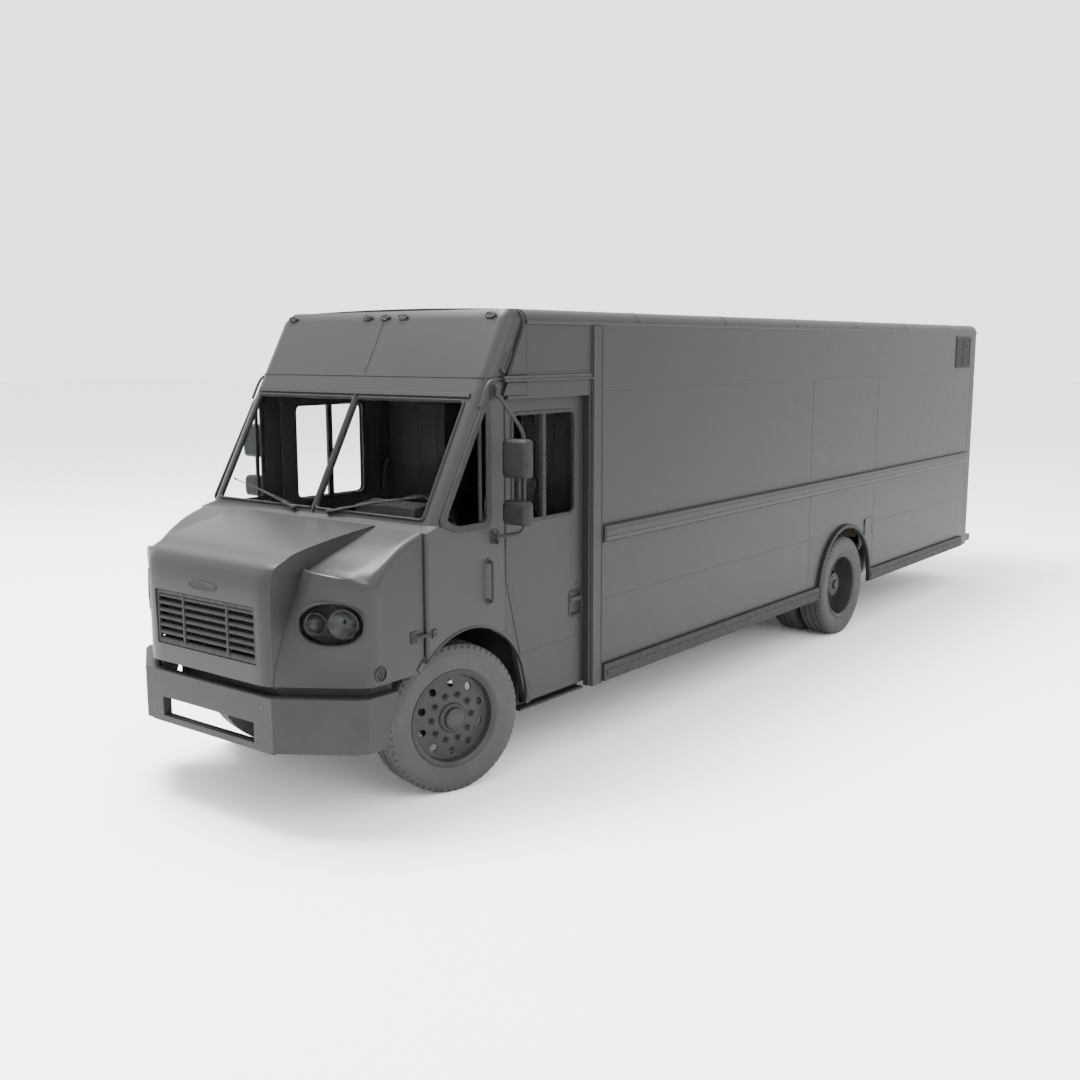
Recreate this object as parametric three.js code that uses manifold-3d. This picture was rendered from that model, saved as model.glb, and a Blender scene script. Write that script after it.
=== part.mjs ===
// A walk-in delivery truck: ladder chassis, tilting hood, walk-in cab and a long cargo body.
// Millimetres. The front faces -Y, the driver's side is +X, +Z is up and the tyres stand on z = 0.
import * as THREE from 'three';
import { mergeVertices } from 'three/addons/utils/BufferGeometryUtils.js';
import Module from 'manifold-3d';

const wasm = await Module();
wasm.setup();

// ---------------------------------------------------------------- driving dimensions
const GAP = 0.5; // clearance between neighbouring pieces
const BODY_HALF = 1050; // half width of the cargo body
const CAB_HALF = 1030; // half width of the cab front
const HOOD_HALF = 1005; // half width over the fenders
const BUMPER_FRONT = -5050;
const BUMPER_REAR = 5050;
const NOSE = -5037; // front plane of the hood
const HOOD_SEAM = -4276; // where the hood meets the cab
const CAB_TOP_FRONT = -3504; // front edge of the roof
const CAB_SLOPE = 0.56; // metres back for each metre up on the sloped cab front
const PILLAR_REAR = -3574; // rear face of the windscreen pillar, front edge of the door
const POST_FRONT = -2700; // front of the post behind the door
const POST_REAR = -2574;
const BODY_REAR = 4846; // rear face of the cargo body
const SKIRT = 420; // lower edge of the body sides
const RAIL = 2850; // where the sides meet the roof
const ROOF = 2930;
const CROWN = 18;
const WALL = 40; // depth of the body walls over their posts
const SHEET = 5;
const CAB_SKIN = 25;
const POST_PITCH = 610;
const FLOOR = 880; // top of the cab and cargo floors
const FLOOR_HALF = 935;
const TYRE_R = 464.5;
const TYRE_W = 250;
const BEAD_R = 286;
const DUAL = 146; // each rear tyre's middle, from the middle of the pair
const FRONT_AXLE = -3880;
const REAR_AXLE = 1416;
const KINGPIN = 780;
const STEER_REST = THREE.MathUtils.degToRad(-16);
const FRONT_ARCH = { y: -3910, z: 500, r: 540 };
const REAR_ARCH = { y: REAR_AXLE, z: 464.5, r: 550 };
const FRAME_TOP = 800;
const FRAME_DEPTH = 200;
const FRAME_HALF = 432;
const WHEEL_STEPS = 24;

// ---------------------------------------------------------------- materials
const finish = (color, roughness, metalness) => ({ color, roughness, metalness });
const PAINT = finish(0x6c6c6e, 0.5, 0.2);
const TRIM = finish(0x4a4a4c, 0.6, 0.1);
const STEEL = finish(0x3c3c3e, 0.65, 0.5);
const RUBBER = finish(0x48484a, 0.9, 0);
const GLASS = finish(0xaab4b8, 0.08, 0);
const PLASTIC = finish(0x2c2c2e, 0.7, 0);
const ALLOY = finish(0x77777a, 0.45, 0.7);
const CLOTH = finish(0x3a3a3e, 0.95, 0);

// ---------------------------------------------------------------- shape helpers
function solid(geometry) {
  const bare = geometry.clone();
  bare.deleteAttribute('normal');
  bare.deleteAttribute('uv');
  const merged = mergeVertices(bare, 1e-3);
  const vertProperties = new Float32Array(merged.attributes.position.array);
  const triVerts = new Uint32Array(merged.index.array);
  return new wasm.Manifold(new wasm.Mesh({ numProp: 3, vertProperties, triVerts }));
}

function geometryOf(shape) {
  const mesh = shape.getMesh();
  const geometry = new THREE.BufferGeometry();
  geometry.setAttribute('position', new THREE.BufferAttribute(mesh.vertProperties, 3));
  geometry.setIndex(new THREE.BufferAttribute(mesh.triVerts, 1));
  geometry.computeVertexNormals();
  return geometry;
}

const join = (shapes) => shapes.reduce((whole, shape) => whole.add(shape));
const cut = (shape, holes) => holes.reduce((rest, hole) => rest.subtract(hole), shape);

function block(x, y, z) {
  const box = new THREE.BoxGeometry(x[1] - x[0], y[1] - y[0], z[1] - z[0]);
  return solid(box.translate((x[0] + x[1]) / 2, (y[0] + y[1]) / 2, (z[0] + z[1]) / 2));
}

function extruded(points, depth, basis, offset) {
  const shape = new THREE.Shape(points.map(([a, b]) => new THREE.Vector2(a, b)));
  const geometry = new THREE.ExtrudeGeometry(shape, { depth, bevelEnabled: false });
  geometry.applyMatrix4(new THREE.Matrix4().makeBasis(...basis));
  return solid(geometry.translate(...offset));
}

const X = new THREE.Vector3(1, 0, 0);
const Y = new THREE.Vector3(0, 1, 0);
const Z = new THREE.Vector3(0, 0, 1);
// Outline in (y, z) run along X, outline in (x, z) run along Y, outline in (x, y) run along Z.
const alongX = (points, from, to) => extruded(points, to - from, [Y, Z, X], [from, 0, 0]);
const alongY = (points, from, to) =>
  extruded(points, to - from, [X, Z, Y.clone().negate()], [0, to, 0]);
const alongZ = (points, from, to) => extruded(points, to - from, [X, Y, Z], [0, 0, from]);

function arc(cx, cy, r, fromDeg, toDeg, steps) {
  return Array.from({ length: steps + 1 }, (_, i) => {
    const angle = THREE.MathUtils.degToRad(fromDeg + ((toDeg - fromDeg) * i) / steps);
    return [cx + r * Math.cos(angle), cy + r * Math.sin(angle)];
  });
}

function roundedBox([a0, a1], [b0, b1], r, steps = 3) {
  return [
    ...arc(a1 - r, b0 + r, r, -90, 0, steps),
    ...arc(a1 - r, b1 - r, r, 0, 90, steps),
    ...arc(a0 + r, b1 - r, r, 90, 180, steps),
    ...arc(a0 + r, b0 + r, r, 180, 270, steps),
  ];
}

function rod(from, to, r, steps = 10) {
  const a = new THREE.Vector3(...from);
  const b = new THREE.Vector3(...to);
  const run = b.clone().sub(a);
  const geometry = new THREE.CylinderGeometry(r, r, run.length(), steps);
  geometry.applyQuaternion(new THREE.Quaternion().setFromUnitVectors(Y, run.normalize()));
  return solid(geometry.translate(...a.add(b).multiplyScalar(0.5)));
}

// A bent tube: straight rods that share ball joints.
function bentRod(points, r, steps = 8) {
  const rods = points.slice(1).map((point, i) => rod(points[i], point, r, steps));
  const bends = points.slice(1, -1).map((point) => {
    const ball = new THREE.SphereGeometry(r * 1.02, steps, 4);
    return solid(ball.translate(...point));
  });
  return join([...rods, ...bends]);
}

// Rings of the same number of points, in order along the positive normal of the flat view,
// joined by ruled sides and closed by end caps.
function loft(rings, flat) {
  const outline = (ring) => ring.map((point) => new THREE.Vector2(...flat(point)));
  const clockwise = THREE.ShapeUtils.isClockWise(outline(rings[0]));
  const ordered = rings.map((ring) => (clockwise ? ring.slice().reverse() : ring));
  const size = ordered[0].length;
  const last = size * (ordered.length - 1);
  const index = [];
  for (let k = 0; k < last; k += size)
    for (let i = 0; i < size; i++) {
      const a = k + i;
      const b = k + ((i + 1) % size);
      index.push(a, b, a + size, b, b + size, a + size);
    }
  for (const [a, b, c] of THREE.ShapeUtils.triangulateShape(outline(ordered[0]), []))
    index.push(c, b, a);
  for (const [a, b, c] of THREE.ShapeUtils.triangulateShape(outline(ordered.at(-1)), []))
    index.push(last + a, last + b, last + c);
  const geometry = new THREE.BufferGeometry();
  geometry.setAttribute('position', new THREE.Float32BufferAttribute(ordered.flat(2), 3));
  geometry.setIndex(index);
  return solid(geometry);
}

// A profile of [radius, height] points turned about the X axis.
function turned(profile, steps = WHEEL_STEPS) {
  const points = profile.map(([r, h]) => new THREE.Vector2(r, h));
  if (THREE.ShapeUtils.isClockWise(points)) points.reverse();
  const geometry = new THREE.LatheGeometry([...points, points[0]], steps);
  geometry.rotateY(Math.PI / steps);
  geometry.rotateZ(-Math.PI / 2);
  return solid(geometry);
}

const mirrored = (shape) => shape.mirror([1, 0, 0]);
const sided = (shape, side) => (side > 0 ? shape : mirrored(shape));
const sideName = (side) => (side > 0 ? 'left' : 'right');

// ---------------------------------------------------------------- the scene graph
const truck = new THREE.Group();

function place(name, shape, look, parent = truck) {
  const material = new THREE.MeshStandardMaterial(look);
  const mesh = new THREE.Mesh(geometryOf(shape), material);
  mesh.name = name;
  parent.add(mesh);
  return mesh;
}

// ---------------------------------------------------------------- chassis
function ladderFrame() {
  const length = [-4900, 4780];
  const bottom = FRAME_TOP - FRAME_DEPTH;
  const flange = 70;
  const plate = 9;
  const channel = join([
    block([FRAME_HALF - plate, FRAME_HALF], length, [bottom, FRAME_TOP]),
    block([FRAME_HALF - flange, FRAME_HALF], length, [bottom, bottom + plate]),
    block([FRAME_HALF - flange, FRAME_HALF], length, [FRAME_TOP - plate, FRAME_TOP]),
  ]);
  const inner = FRAME_HALF - plate;
  const member = (y) => block([-inner, inner], [y - 30, y + 30], [FRAME_TOP - 95, FRAME_TOP - 10]);
  const behindGearbox = -2700;
  const members = [length[0] + 60, -4420].map(member);
  for (let y = behindGearbox; y < length[1]; y += 920) members.push(member(y));
  return join([channel, mirrored(channel), ...members]);
}

function leafSpring(axleY, halfSpan, eyeZ, seatZ) {
  const outline = [];
  const steps = 8;
  const leaf = 34;
  for (let i = 0; i <= steps; i++) {
    const t = (2 * i) / steps - 1;
    outline.push([axleY + t * halfSpan, seatZ + (eyeZ - seatZ) * t * t]);
  }
  const upper = outline.map(([y, z]) => [y, z + leaf]).reverse();
  return alongX([...outline, ...upper], FRAME_HALF - 75, FRAME_HALF - 5);
}

function frontAxle() {
  const eyeZ = FRAME_TOP - FRAME_DEPTH - 36;
  const spring = leafSpring(FRONT_AXLE, 600, eyeZ, 445);
  const beam = [
    [-640, 470],
    [-560, 375],
    [560, 375],
    [640, 470],
    [640, 540],
    [560, 455],
    [-560, 455],
    [-640, 540],
  ];
  const eyes = [-20, 20].map((y) =>
    rod([590, FRONT_AXLE + y, 505], [705, FRONT_AXLE + y, 505], 26),
  );
  return join([
    alongY(beam, FRONT_AXLE - 45, FRONT_AXLE + 45),
    spring,
    mirrored(spring),
    ...eyes,
    ...eyes.map(mirrored),
  ]);
}

function rearAxle() {
  const eyeZ = FRAME_TOP - FRAME_DEPTH - 40;
  const spring = leafSpring(REAR_AXLE, 680, eyeZ, 500);
  const bowl = new THREE.SphereGeometry(175, 12, 8);
  const tube = rod([-560, REAR_AXLE, TYRE_R], [560, REAR_AXLE, TYRE_R], 62, 14);
  const spindles = rod([-985, REAR_AXLE, TYRE_R], [985, REAR_AXLE, TYRE_R], 44, 14);
  return join([
    tube,
    spindles,
    solid(bowl.scale(0.8, 1, 0.72).translate(0, REAR_AXLE, TYRE_R)),
    rod([0, REAR_AXLE - 240, TYRE_R], [0, REAR_AXLE, TYRE_R], 55, 12),
    spring,
    mirrored(spring),
  ]);
}

function engine() {
  return join([
    block([-220, 220], [-4250, -3720], [560, 1010]),
    alongX(roundedBox([-4200, -3760], [1000, 1225], 60), -180, 180),
    block([-330, 330], [-4330, -4240], [640, 1180]),
    block([-300, -175], [-3980, -3800], [1020, 1100]),
    rod([0, -3740, 700], [0, -3300, 700], 142, 12),
    rod([0, -3310, 700], [0, -2810, 640], 120, 12),
  ]);
}

function driveShaft() {
  const front = [0, -2790, 638];
  const rear = [0, REAR_AXLE - 250, TYRE_R + 2];
  const yoke = 62;
  return join([
    rod(front, rear, 45, 12),
    rod(front, [0, front[1] + 60, front[2] - 2.4], yoke, 10),
    rod([0, rear[1] - 60, rear[2] + 2.4], rear, yoke, 10),
  ]);
}

function fuelTank() {
  const body = alongY(roundedBox([500, 900], [430, 770], 60), 2080, 2980);
  const straps = [2250, 2800].map((y) =>
    alongY(roundedBox([492, 908], [422, 778], 66), y - 25, y + 25),
  );
  const neck = bentRod([[870, 2140, 700], [968, 1990, 800], [968, 1940, 930]], 24);
  const hangers = [2250, 2800].map((y) => block([FRAME_HALF + 1, 520], [y - 30, y + 30], [640, 780]));
  return join([body, ...straps, neck, ...hangers]);
}

// ---------------------------------------------------------------- floors
const CAB_WELL = { y: [-3355, -2740], x: [690, 960], z: 440 };

function stepWell(side) {
  const wall = 20;
  const { x, y, z } = CAB_WELL;
  const shell = block([x[0] - wall, x[1]], [y[0] - wall, y[1] + wall], [z - wall, FLOOR]);
  const space = block([x[0], x[1] + 5], y, [z, FLOOR + 5]);
  return sided(cut(shell, [space]), side);
}

function cabFloor() {
  const outer = CAB_WELL.x[1];
  const slab = block([-outer, outer], [-4200, POST_REAR - 10], [FLOOR - 30, FLOOR]);
  const firewall = block([-600, 600], [-4225, -4200], [FLOOR - 30, 1600]);
  const wheelY = [-4262, -3395];
  const wall = 20;
  const inner = 475;
  const house = (side) =>
    sided(block([inner - wall, outer], [wheelY[0], wheelY[1] + wall], [FLOOR - 160, 1060]), side);
  const hollow = (side) =>
    sided(block([inner, outer + 10], [wheelY[0] - 10, wheelY[1]], [FLOOR - 200, 1060 - wall]), side);
  const wells = [1, -1].map((side) => {
    const { x, y } = CAB_WELL;
    return sided(block([x[0], x[1] + 60], y, [FLOOR - 60, FLOOR + 10]), side);
  });
  const riser = block([200, 680], [-3350, -2900], [FLOOR - 5, 1085]);
  const engineCover = block([-350, 270], [-4225, -3640], [FLOOR - 30, 1270]);
  const engineSpace = block([-330, 250], [-4300, -3660], [FLOOR - 60, 1250]);
  const whole = join([slab, firewall, house(1), house(-1), riser, engineCover]);
  const floor = cut(whole, [hollow(1), hollow(-1), engineSpace, ...wells]);
  return join([floor, stepWell(1), stepWell(-1)]);
}

function cargoFloor() {
  const ends = [POST_REAR + 10, BODY_REAR - 70];
  const slab = block([-FLOOR_HALF, FLOOR_HALF], ends, [FLOOR - 30, FLOOR]);
  const wall = 12;
  const inner = 480;
  const top = 1022;
  const wheelY = [REAR_AXLE - 545, REAR_AXLE + 545];
  const hollow = block([inner, FLOOR_HALF + 5], wheelY, [700, top - wall]);
  const box = block(
    [inner - wall, FLOOR_HALF],
    [wheelY[0] - wall, wheelY[1] + wall],
    [FLOOR - 30, top],
  );
  const cuts = [1, -1].map((side) => sided(hollow, side));
  const houses = [1, -1].map((side) => sided(cut(box, [hollow]), side));
  const sills = [];
  for (let y = ends[0] + 150; y < ends[1]; y += 600)
    if (Math.abs(y - REAR_AXLE) > 620)
      sills.push(block([-FLOOR_HALF, FLOOR_HALF], [y - 25, y + 25], [FRAME_TOP + GAP, FLOOR - 20]));
  return join([cut(slab, cuts), ...houses, ...sills]);
}

// ---------------------------------------------------------------- body shell
const frontY = (z) => CAB_TOP_FRONT - (ROOF - z) * CAB_SLOPE;

function cabRing(z, half, front, rear, corner) {
  const ring = [
    ...arc(half - corner, front + corner, corner, 0, -90, 4),
    ...arc(-half + corner, front + corner, corner, -90, -180, 4),
    [-half, rear],
    [half, rear],
  ];
  return ring.map(([x, y]) => [x, y, z]);
}

const MIRROR = { x: 1200, y: -3596, z: [1600, 2198] };
const MIRROR_PIVOT = { x: 1056, y: -3668 };

const flatXY = ([x, y]) => [x, y];
const WINDOW_FOOT = 1688;
const WINDOW_HEAD = 2386;
const CAB_UPPER_REAR = -3380; // the upper cab front reaches this far back above the doors

function cabFrontSolid(inset, lowest, highest) {
  const half = CAB_HALF - inset;
  const rear = CAB_UPPER_REAR + (inset ? 5 : 0);
  const seam = HOOD_SEAM + (inset ? 30 : 6);
  const corner = Math.max(90 - inset, 30);
  const rings = [
    cabRing(lowest, half, seam, rear, 20),
    cabRing(WINDOW_FOOT - 30 - inset, half, seam, rear, 20),
    cabRing(WINDOW_FOOT - inset * 0.3, half, frontY(WINDOW_FOOT) + inset, rear, corner),
    cabRing(highest - 60, half, frontY(highest - 60) + inset, rear, corner),
    cabRing(highest, half - 45, frontY(highest) + inset + 30, rear, Math.min(corner, 60)),
  ];
  return loft(rings, flatXY);
}

function slopedBlock(x, along, depth) {
  // A block that lies in the plane of the windscreen: along is [low z, high z].
  const angle = Math.atan(CAB_SLOPE);
  const mid = (along[0] + along[1]) / 2;
  const height = (along[1] - along[0]) / Math.cos(angle);
  const box = new THREE.BoxGeometry(x[1] - x[0], depth[1] - depth[0], height);
  box.translate((x[0] + x[1]) / 2, (depth[0] + depth[1]) / 2, 0);
  box.rotateX(-angle);
  return solid(box.translate(0, frontY(mid), mid));
}

const QUARTER = [
  [-3716, 2352],
  [-3778, 2344],
  [-4150, 1700],
  [-4010, 1640],
  [-3716, 1640],
];

function archCut(arch, x) {
  const ring = arc(arch.y, arch.z, arch.r, 0, 360, 32).slice(0, -1);
  return alongX(ring, x[0], x[1]);
}

function cabFront() {
  const shell = cabFrontSolid(0, SKIRT, ROOF);
  const hollow = cabFrontSolid(CAB_SKIN, SKIRT - 50, ROOF - CAB_SKIN);
  const doorway = block([-1200, 1200], [PILLAR_REAR, -3000], [SKIRT - 60, 2400]);
  const skirtEnd = block([-1200, 1200], [-3421, -3000], [SKIRT - 60, 900]);
  const panes = [1, -1].map((side) =>
    sided(slopedBlock([16, 930], [WINDOW_FOOT + 25, WINDOW_HEAD], [-80, 90]), side),
  );
  const quarters = [1, -1].map((side) => sided(alongX(QUARTER, CAB_HALF - 60, 1200), side));
  const arches = [1, -1].map((side) => sided(archCut(FRONT_ARCH, [600, 1200]), side));
  const frontFace = block([-560, 560], [HOOD_SEAM - 5, HOOD_SEAM + 60], [SKIRT - 60, 1600]);
  const sides = [1, -1].map((side) =>
    sided(block([560, CAB_HALF - CAB_SKIN], [HOOD_SEAM - 5, HOOD_SEAM + 60], [SKIRT - 60, 1070]), side),
  );
  const holes = [hollow, doorway, skirtEnd, ...panes, ...quarters, ...arches, frontFace, ...sides];
  return join([cut(shell, holes), ...mirrorBrackets(1), ...mirrorBrackets(-1)]);
}

function sidePanel(side) {
  const doorHead = 2400;
  const ends = [CAB_UPPER_REAR + GAP, BODY_REAR - 60];
  const outline = [
    [ends[1], SKIRT],
    [ends[1], RAIL],
    [ends[0], RAIL],
    [ends[0], doorHead],
    [POST_FRONT, doorHead],
    [POST_FRONT, SKIRT],
    ...arc(REAR_ARCH.y, REAR_ARCH.z, REAR_ARCH.r, 184.6, -4.6, 18),
  ];
  const depth = [BODY_HALF - WALL, BODY_HALF - SHEET + 1];
  const post = (y, width) => block(depth, [y, y + width], [SKIRT, RAIL]);
  const topRail = block(depth, ends, [RAIL - 60, RAIL]);
  const doorRail = block(depth, [ends[0], POST_FRONT + 20], [doorHead, doorHead + 50]);
  const posts = [topRail, post(POST_FRONT, 40)];
  for (let y = POST_REAR - 40; y < ends[1] - 40; y += POST_PITCH) posts.push(post(y, 40));
  posts.push(post(ends[1] - 40, 40), doorRail);
  const frame = cut(join(posts), [archCut(REAR_ARCH, [900, 1200])]);
  const skin = alongX(outline, BODY_HALF - SHEET, BODY_HALF);
  return sided(join([skin, frame]), side);
}

function roofRing(half, low, top, r) {
  return [
    [-half, low],
    [half, low],
    ...arc(half - r, top - r, r, 0, 90, 4),
    [0, top + CROWN],
    ...arc(-half + r, top - r, r, 90, 180, 4),
  ];
}

function roofShell() {
  const ends = [CAB_UPPER_REAR + GAP, BODY_REAR - 60];
  const outer = roofRing(BODY_HALF, RAIL + GAP, ROOF, 75);
  const under = roofRing(BODY_HALF - SHEET, RAIL - 10, ROOF - SHEET, 72);
  const shell = cut(alongY(outer, ...ends), [alongY(under, ends[0] - 5, ends[1] + 5)]);
  const bowHalf = BODY_HALF - 60;
  const bows = [];
  for (let y = ends[0]; y < ends[1] - 40; y += POST_PITCH)
    bows.push(block([-bowHalf, bowHalf], [y, y + 40], [ROOF - 40, ROOF - SHEET + 2]));
  return join([shell, ...bows]);
}

function rearFrame() {
  const ends = [BODY_REAR - 60 + GAP, BODY_REAR];
  const plate = 25;
  const outer = alongY(
    [[BODY_HALF, SKIRT], ...roofRing(BODY_HALF, SKIRT, ROOF, 75).slice(2), [-BODY_HALF, SKIRT]],
    ...ends,
  );
  const doorway = block([-820, 820], [ends[0] - 5, ends[1] + 5], [FLOOR, 2620]);
  const half = BODY_HALF - plate;
  const space = block([-half, half], [ends[0] - 5, ends[1] - plate], [SKIRT - 5, ROOF - plate - 50]);
  const inside = cut(space, [block([-845, 845], [ends[0] - 10, ends[1]], [FLOOR - 25, 2645])]);
  const towArms = block([-470, 470], [ends[0] - 5, ends[1] + 5], [SKIRT - 10, 560]);
  return cut(outer, [doorway, towArms, inside]);
}

function beltRail(side) {
  const middle = 1452;
  const section = [
    [BODY_HALF + GAP, middle - 65],
    [BODY_HALF + 34, middle - 53],
    [BODY_HALF + 40, middle],
    [BODY_HALF + 34, middle + 53],
    [BODY_HALF + GAP, middle + 65],
  ];
  return sided(alongY(section, POST_REAR, 4706), side);
}

function lowerTrim(side) {
  const reach = 34;
  const flareOuter = 588;
  const start = BODY_HALF + GAP;
  const rail = (from, to) => block([start, start + reach], [from, to], [425, 545]);
  const flare = cut(
    alongX(arc(REAR_ARCH.y, REAR_ARCH.z, flareOuter, 0, 360, 32).slice(0, -1), start, start + reach),
    [
      alongX(arc(REAR_ARCH.y, REAR_ARCH.z, REAR_ARCH.r, 0, 360, 32).slice(0, -1), 1000, 1200),
      block([1000, 1200], [REAR_AXLE - 700, REAR_AXLE + 700], [-200, 425]),
    ],
  );
  return sided(
    join([rail(POST_REAR, REAR_AXLE - 552), rail(REAR_AXLE + 552, 4626), flare]),
    side,
  );
}

function bulkhead() {
  const y = [POST_REAR - 8, POST_REAR + 8];
  const slab = alongY(
    [[-930, FLOOR + GAP], [930, FLOOR + GAP], [930, 2800], [-930, 2800]],
    ...y,
  );
  const doorway = alongY(roundedBox([-360, 360], [FLOOR + 30, 2500], 60), y[0] - 5, y[1] + 5);
  return cut(slab, [doorway]);
}

// ---------------------------------------------------------------- glass
function windshieldPane(side) {
  const pane = slopedBlock([18, 928], [WINDOW_FOOT + 27, WINDOW_HEAD - 2], [8, 14]);
  return sided(pane, side);
}

function quarterPane(side) {
  const centre = [-3870, 1980];
  const share = 0.985;
  const pane = QUARTER.map(([y, z]) => [
    THREE.MathUtils.lerp(centre[0], y, share),
    THREE.MathUtils.lerp(centre[1], z, share),
  ]);
  return sided(alongX(pane, CAB_HALF - 24, CAB_HALF - 18), side);
}

// ---------------------------------------------------------------- hood
const grooveX = (y) => 560 + ((y - NOSE) / (HOOD_SEAM - NOSE)) * 70;

function noseY(x, inset) {
  const sweepStart = 520;
  const sweep = 333 / 485;
  return NOSE + inset + Math.max(0, x - sweepStart) * sweep;
}

// Rows of a hood section, from the cab seam under the fender round the nose to the cowl.
function hoodRing(station, side, inset) {
  const bonnet = station <= 1;
  const t = bonnet ? station : station - 1;
  const half = HOOD_HALF - inset;
  const at = (y, z) => {
    const groove = grooveX(y);
    const x = bonnet ? t * (groove - 4) : THREE.MathUtils.lerp(groove + 4, half, t);
    return [side * x, y, z];
  };
  const plan = bonnet ? t * 560 : THREE.MathUtils.lerp(568, half, t);
  const lip = noseY(plan, inset);
  const round = bonnet ? 0 : t;
  const top = bonnet
    ? [[lip + 8, 1449], [-4904, 1546], [-4790, 1588], [-4560, 1632], [HOOD_SEAM, 1672]]
    : [
        [THREE.MathUtils.lerp(-4822, lip + 4, round), THREE.MathUtils.lerp(1447, 1390, round ** 3)],
        [THREE.MathUtils.lerp(-4760, lip + 45, round), THREE.MathUtils.lerp(1478, 1440, round ** 3)],
        [THREE.MathUtils.lerp(-4640, -4584, round), THREE.MathUtils.lerp(1532, 1515, round)],
        [THREE.MathUtils.lerp(-4470, -4440, round), THREE.MathUtils.lerp(1592, 1605, round)],
        [HOOD_SEAM, 1664],
      ];
  const bottom = inset ? 700 : 850;
  const rear = inset ? HOOD_SEAM + 40 : HOOD_SEAM;
  const rows = [
    [rear, bottom],
    [lip, bottom],
    [lip + (bonnet ? 0 : 20), 1012],
    ...top.map(([y, z]) => [y + inset * 0.6, z - inset * 0.6]),
  ];
  rows[rows.length - 1][0] = rear;
  return rows.map(([y, z]) => at(y, z));
}

function hoodSolid(inset) {
  const stations = [2, 1.97, 1.8, 1.4, 1.0001, 1, 0.93, 0.5];
  const rings = [
    ...stations.map((s) => hoodRing(s, -1, inset)),
    hoodRing(0, 1, inset),
    ...stations.slice().reverse().map((s) => hoodRing(s, 1, inset)),
  ];
  return loft(rings, ([, y, z]) => [y, z]);
}

const LAMP = { x: 832, y: -4821, z: 1207, half: [182, 120], turn: Math.atan2(333, 485) };

function lampOutline(grow) {
  const steps = 18;
  return Array.from({ length: steps }, (_, i) => {
    const angle = (i / steps) * 2 * Math.PI;
    return [(LAMP.half[0] + grow) * Math.cos(angle), (LAMP.half[1] + grow) * Math.sin(angle)];
  });
}

function lampSlab(grow, depth, side) {
  const shape = new THREE.Shape(lampOutline(grow).map(([a, b]) => new THREE.Vector2(a, b)));
  const geometry = new THREE.ExtrudeGeometry(shape, { depth: depth[1] - depth[0], bevelEnabled: false });
  geometry.translate(0, 0, depth[0]);
  geometry.rotateX(Math.PI / 2);
  geometry.rotateZ(LAMP.turn);
  return sided(solid(geometry.translate(LAMP.x, LAMP.y, LAMP.z)), side);
}

function hoodShell() {
  const grilleHole = block([-460, 460], [NOSE - 20, NOSE + 60], [958, 1292]);
  const lamps = [1, -1].map((side) => lampSlab(0, [-120, 120], side));
  const arches = [1, -1].map((side) => sided(archCut(FRONT_ARCH, [640, 1200]), side));
  const shell = cut(hoodSolid(0), [hoodSolid(24), grilleHole, ...lamps, ...arches]);
  const hingeArms = [-300, 300].map((x) => block([x - 20, x + 20], [-5015, -4960], [845, 900]));
  return join([shell, ...hingeArms]);
}

function grille() {
  const width = [-458, 458];
  const depth = [NOSE + 6, NOSE + 24];
  const frame = cut(block(width, depth, [960, 1290]), [
    block([-436, 436], [depth[0] - 5, depth[1] + 5], [980, 1270]),
  ]);
  const slats = [];
  for (let i = 0; i < 7; i++) {
    const z = 1262 - i * 45.8;
    const slat = [[depth[0], z - 14], [depth[1], z - 6], [depth[1], z + 6], [depth[0], z + 2]];
    slats.push(alongX(slat, -440, 440));
  }
  const bars = [-200, 200].map((x) => block([x - 9, x + 9], [depth[0] - 4, depth[1]], [970, 1280]));
  return join([frame, ...slats, ...bars]);
}

const headlight = (side) => lampSlab(-1.5, [-52, 8], side);

// ---------------------------------------------------------------- bumpers
function bumperPlan(inset) {
  const edge = [
    [0, BUMPER_FRONT],
    [584, BUMPER_FRONT],
    [972, -4784],
    [1014, -4736],
    [1022, -4490],
  ];
  const inner = edge.map(([x, y]) => [x - (x ? inset : 0), y + inset]).reverse();
  inner[0][1] = edge.at(-1)[1];
  return [...edge, ...inner];
}

function frontBumper() {
  const half = alongZ(bumperPlan(60), 480, 795);
  const bar = join([half, mirrored(half)]);
  const wedge = alongX([[-4605, 470], [-4450, 470], [-4450, 810], [-4492, 810]], 800, 1100);
  const opening = block([-420, 420], [BUMPER_FRONT - 10, BUMPER_FRONT + 80], [515, 630]);
  const brackets = [1, -1].map((side) =>
    sided(block([330, 420], [BUMPER_FRONT + 40, -4910], [640, 760]), side),
  );
  const plate = block([180, 490], [BUMPER_FRONT, BUMPER_FRONT + 20], [640, 770]);
  return join([cut(bar, [opening, wedge, mirrored(wedge)]), ...brackets, plate]);
}

function rearBumper() {
  const tread = block([-BODY_HALF + 20, BODY_HALF - 20], [BODY_REAR + 4, BUMPER_REAR], [440, 515]);
  const beam = BODY_HALF - 60;
  const under = block([-beam, beam], [BODY_REAR + 30, BUMPER_REAR - 25], [405, 490]);
  const inner = beam - 20;
  const hollow = block([-inner, inner], [BODY_REAR + 45, BUMPER_REAR - 40], [400, 500]);
  const arms = [-380, 380].map((x) => block([x - 35, x + 35], [4560, BODY_REAR + 60], [450, 505]));
  const drops = [-380, 380].map((x) => block([x - 35, x + 35], [4560, 4640], [450, 598]));
  return join([cut(join([tread, under]), [hollow]), ...arms, ...drops]);
}

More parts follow.
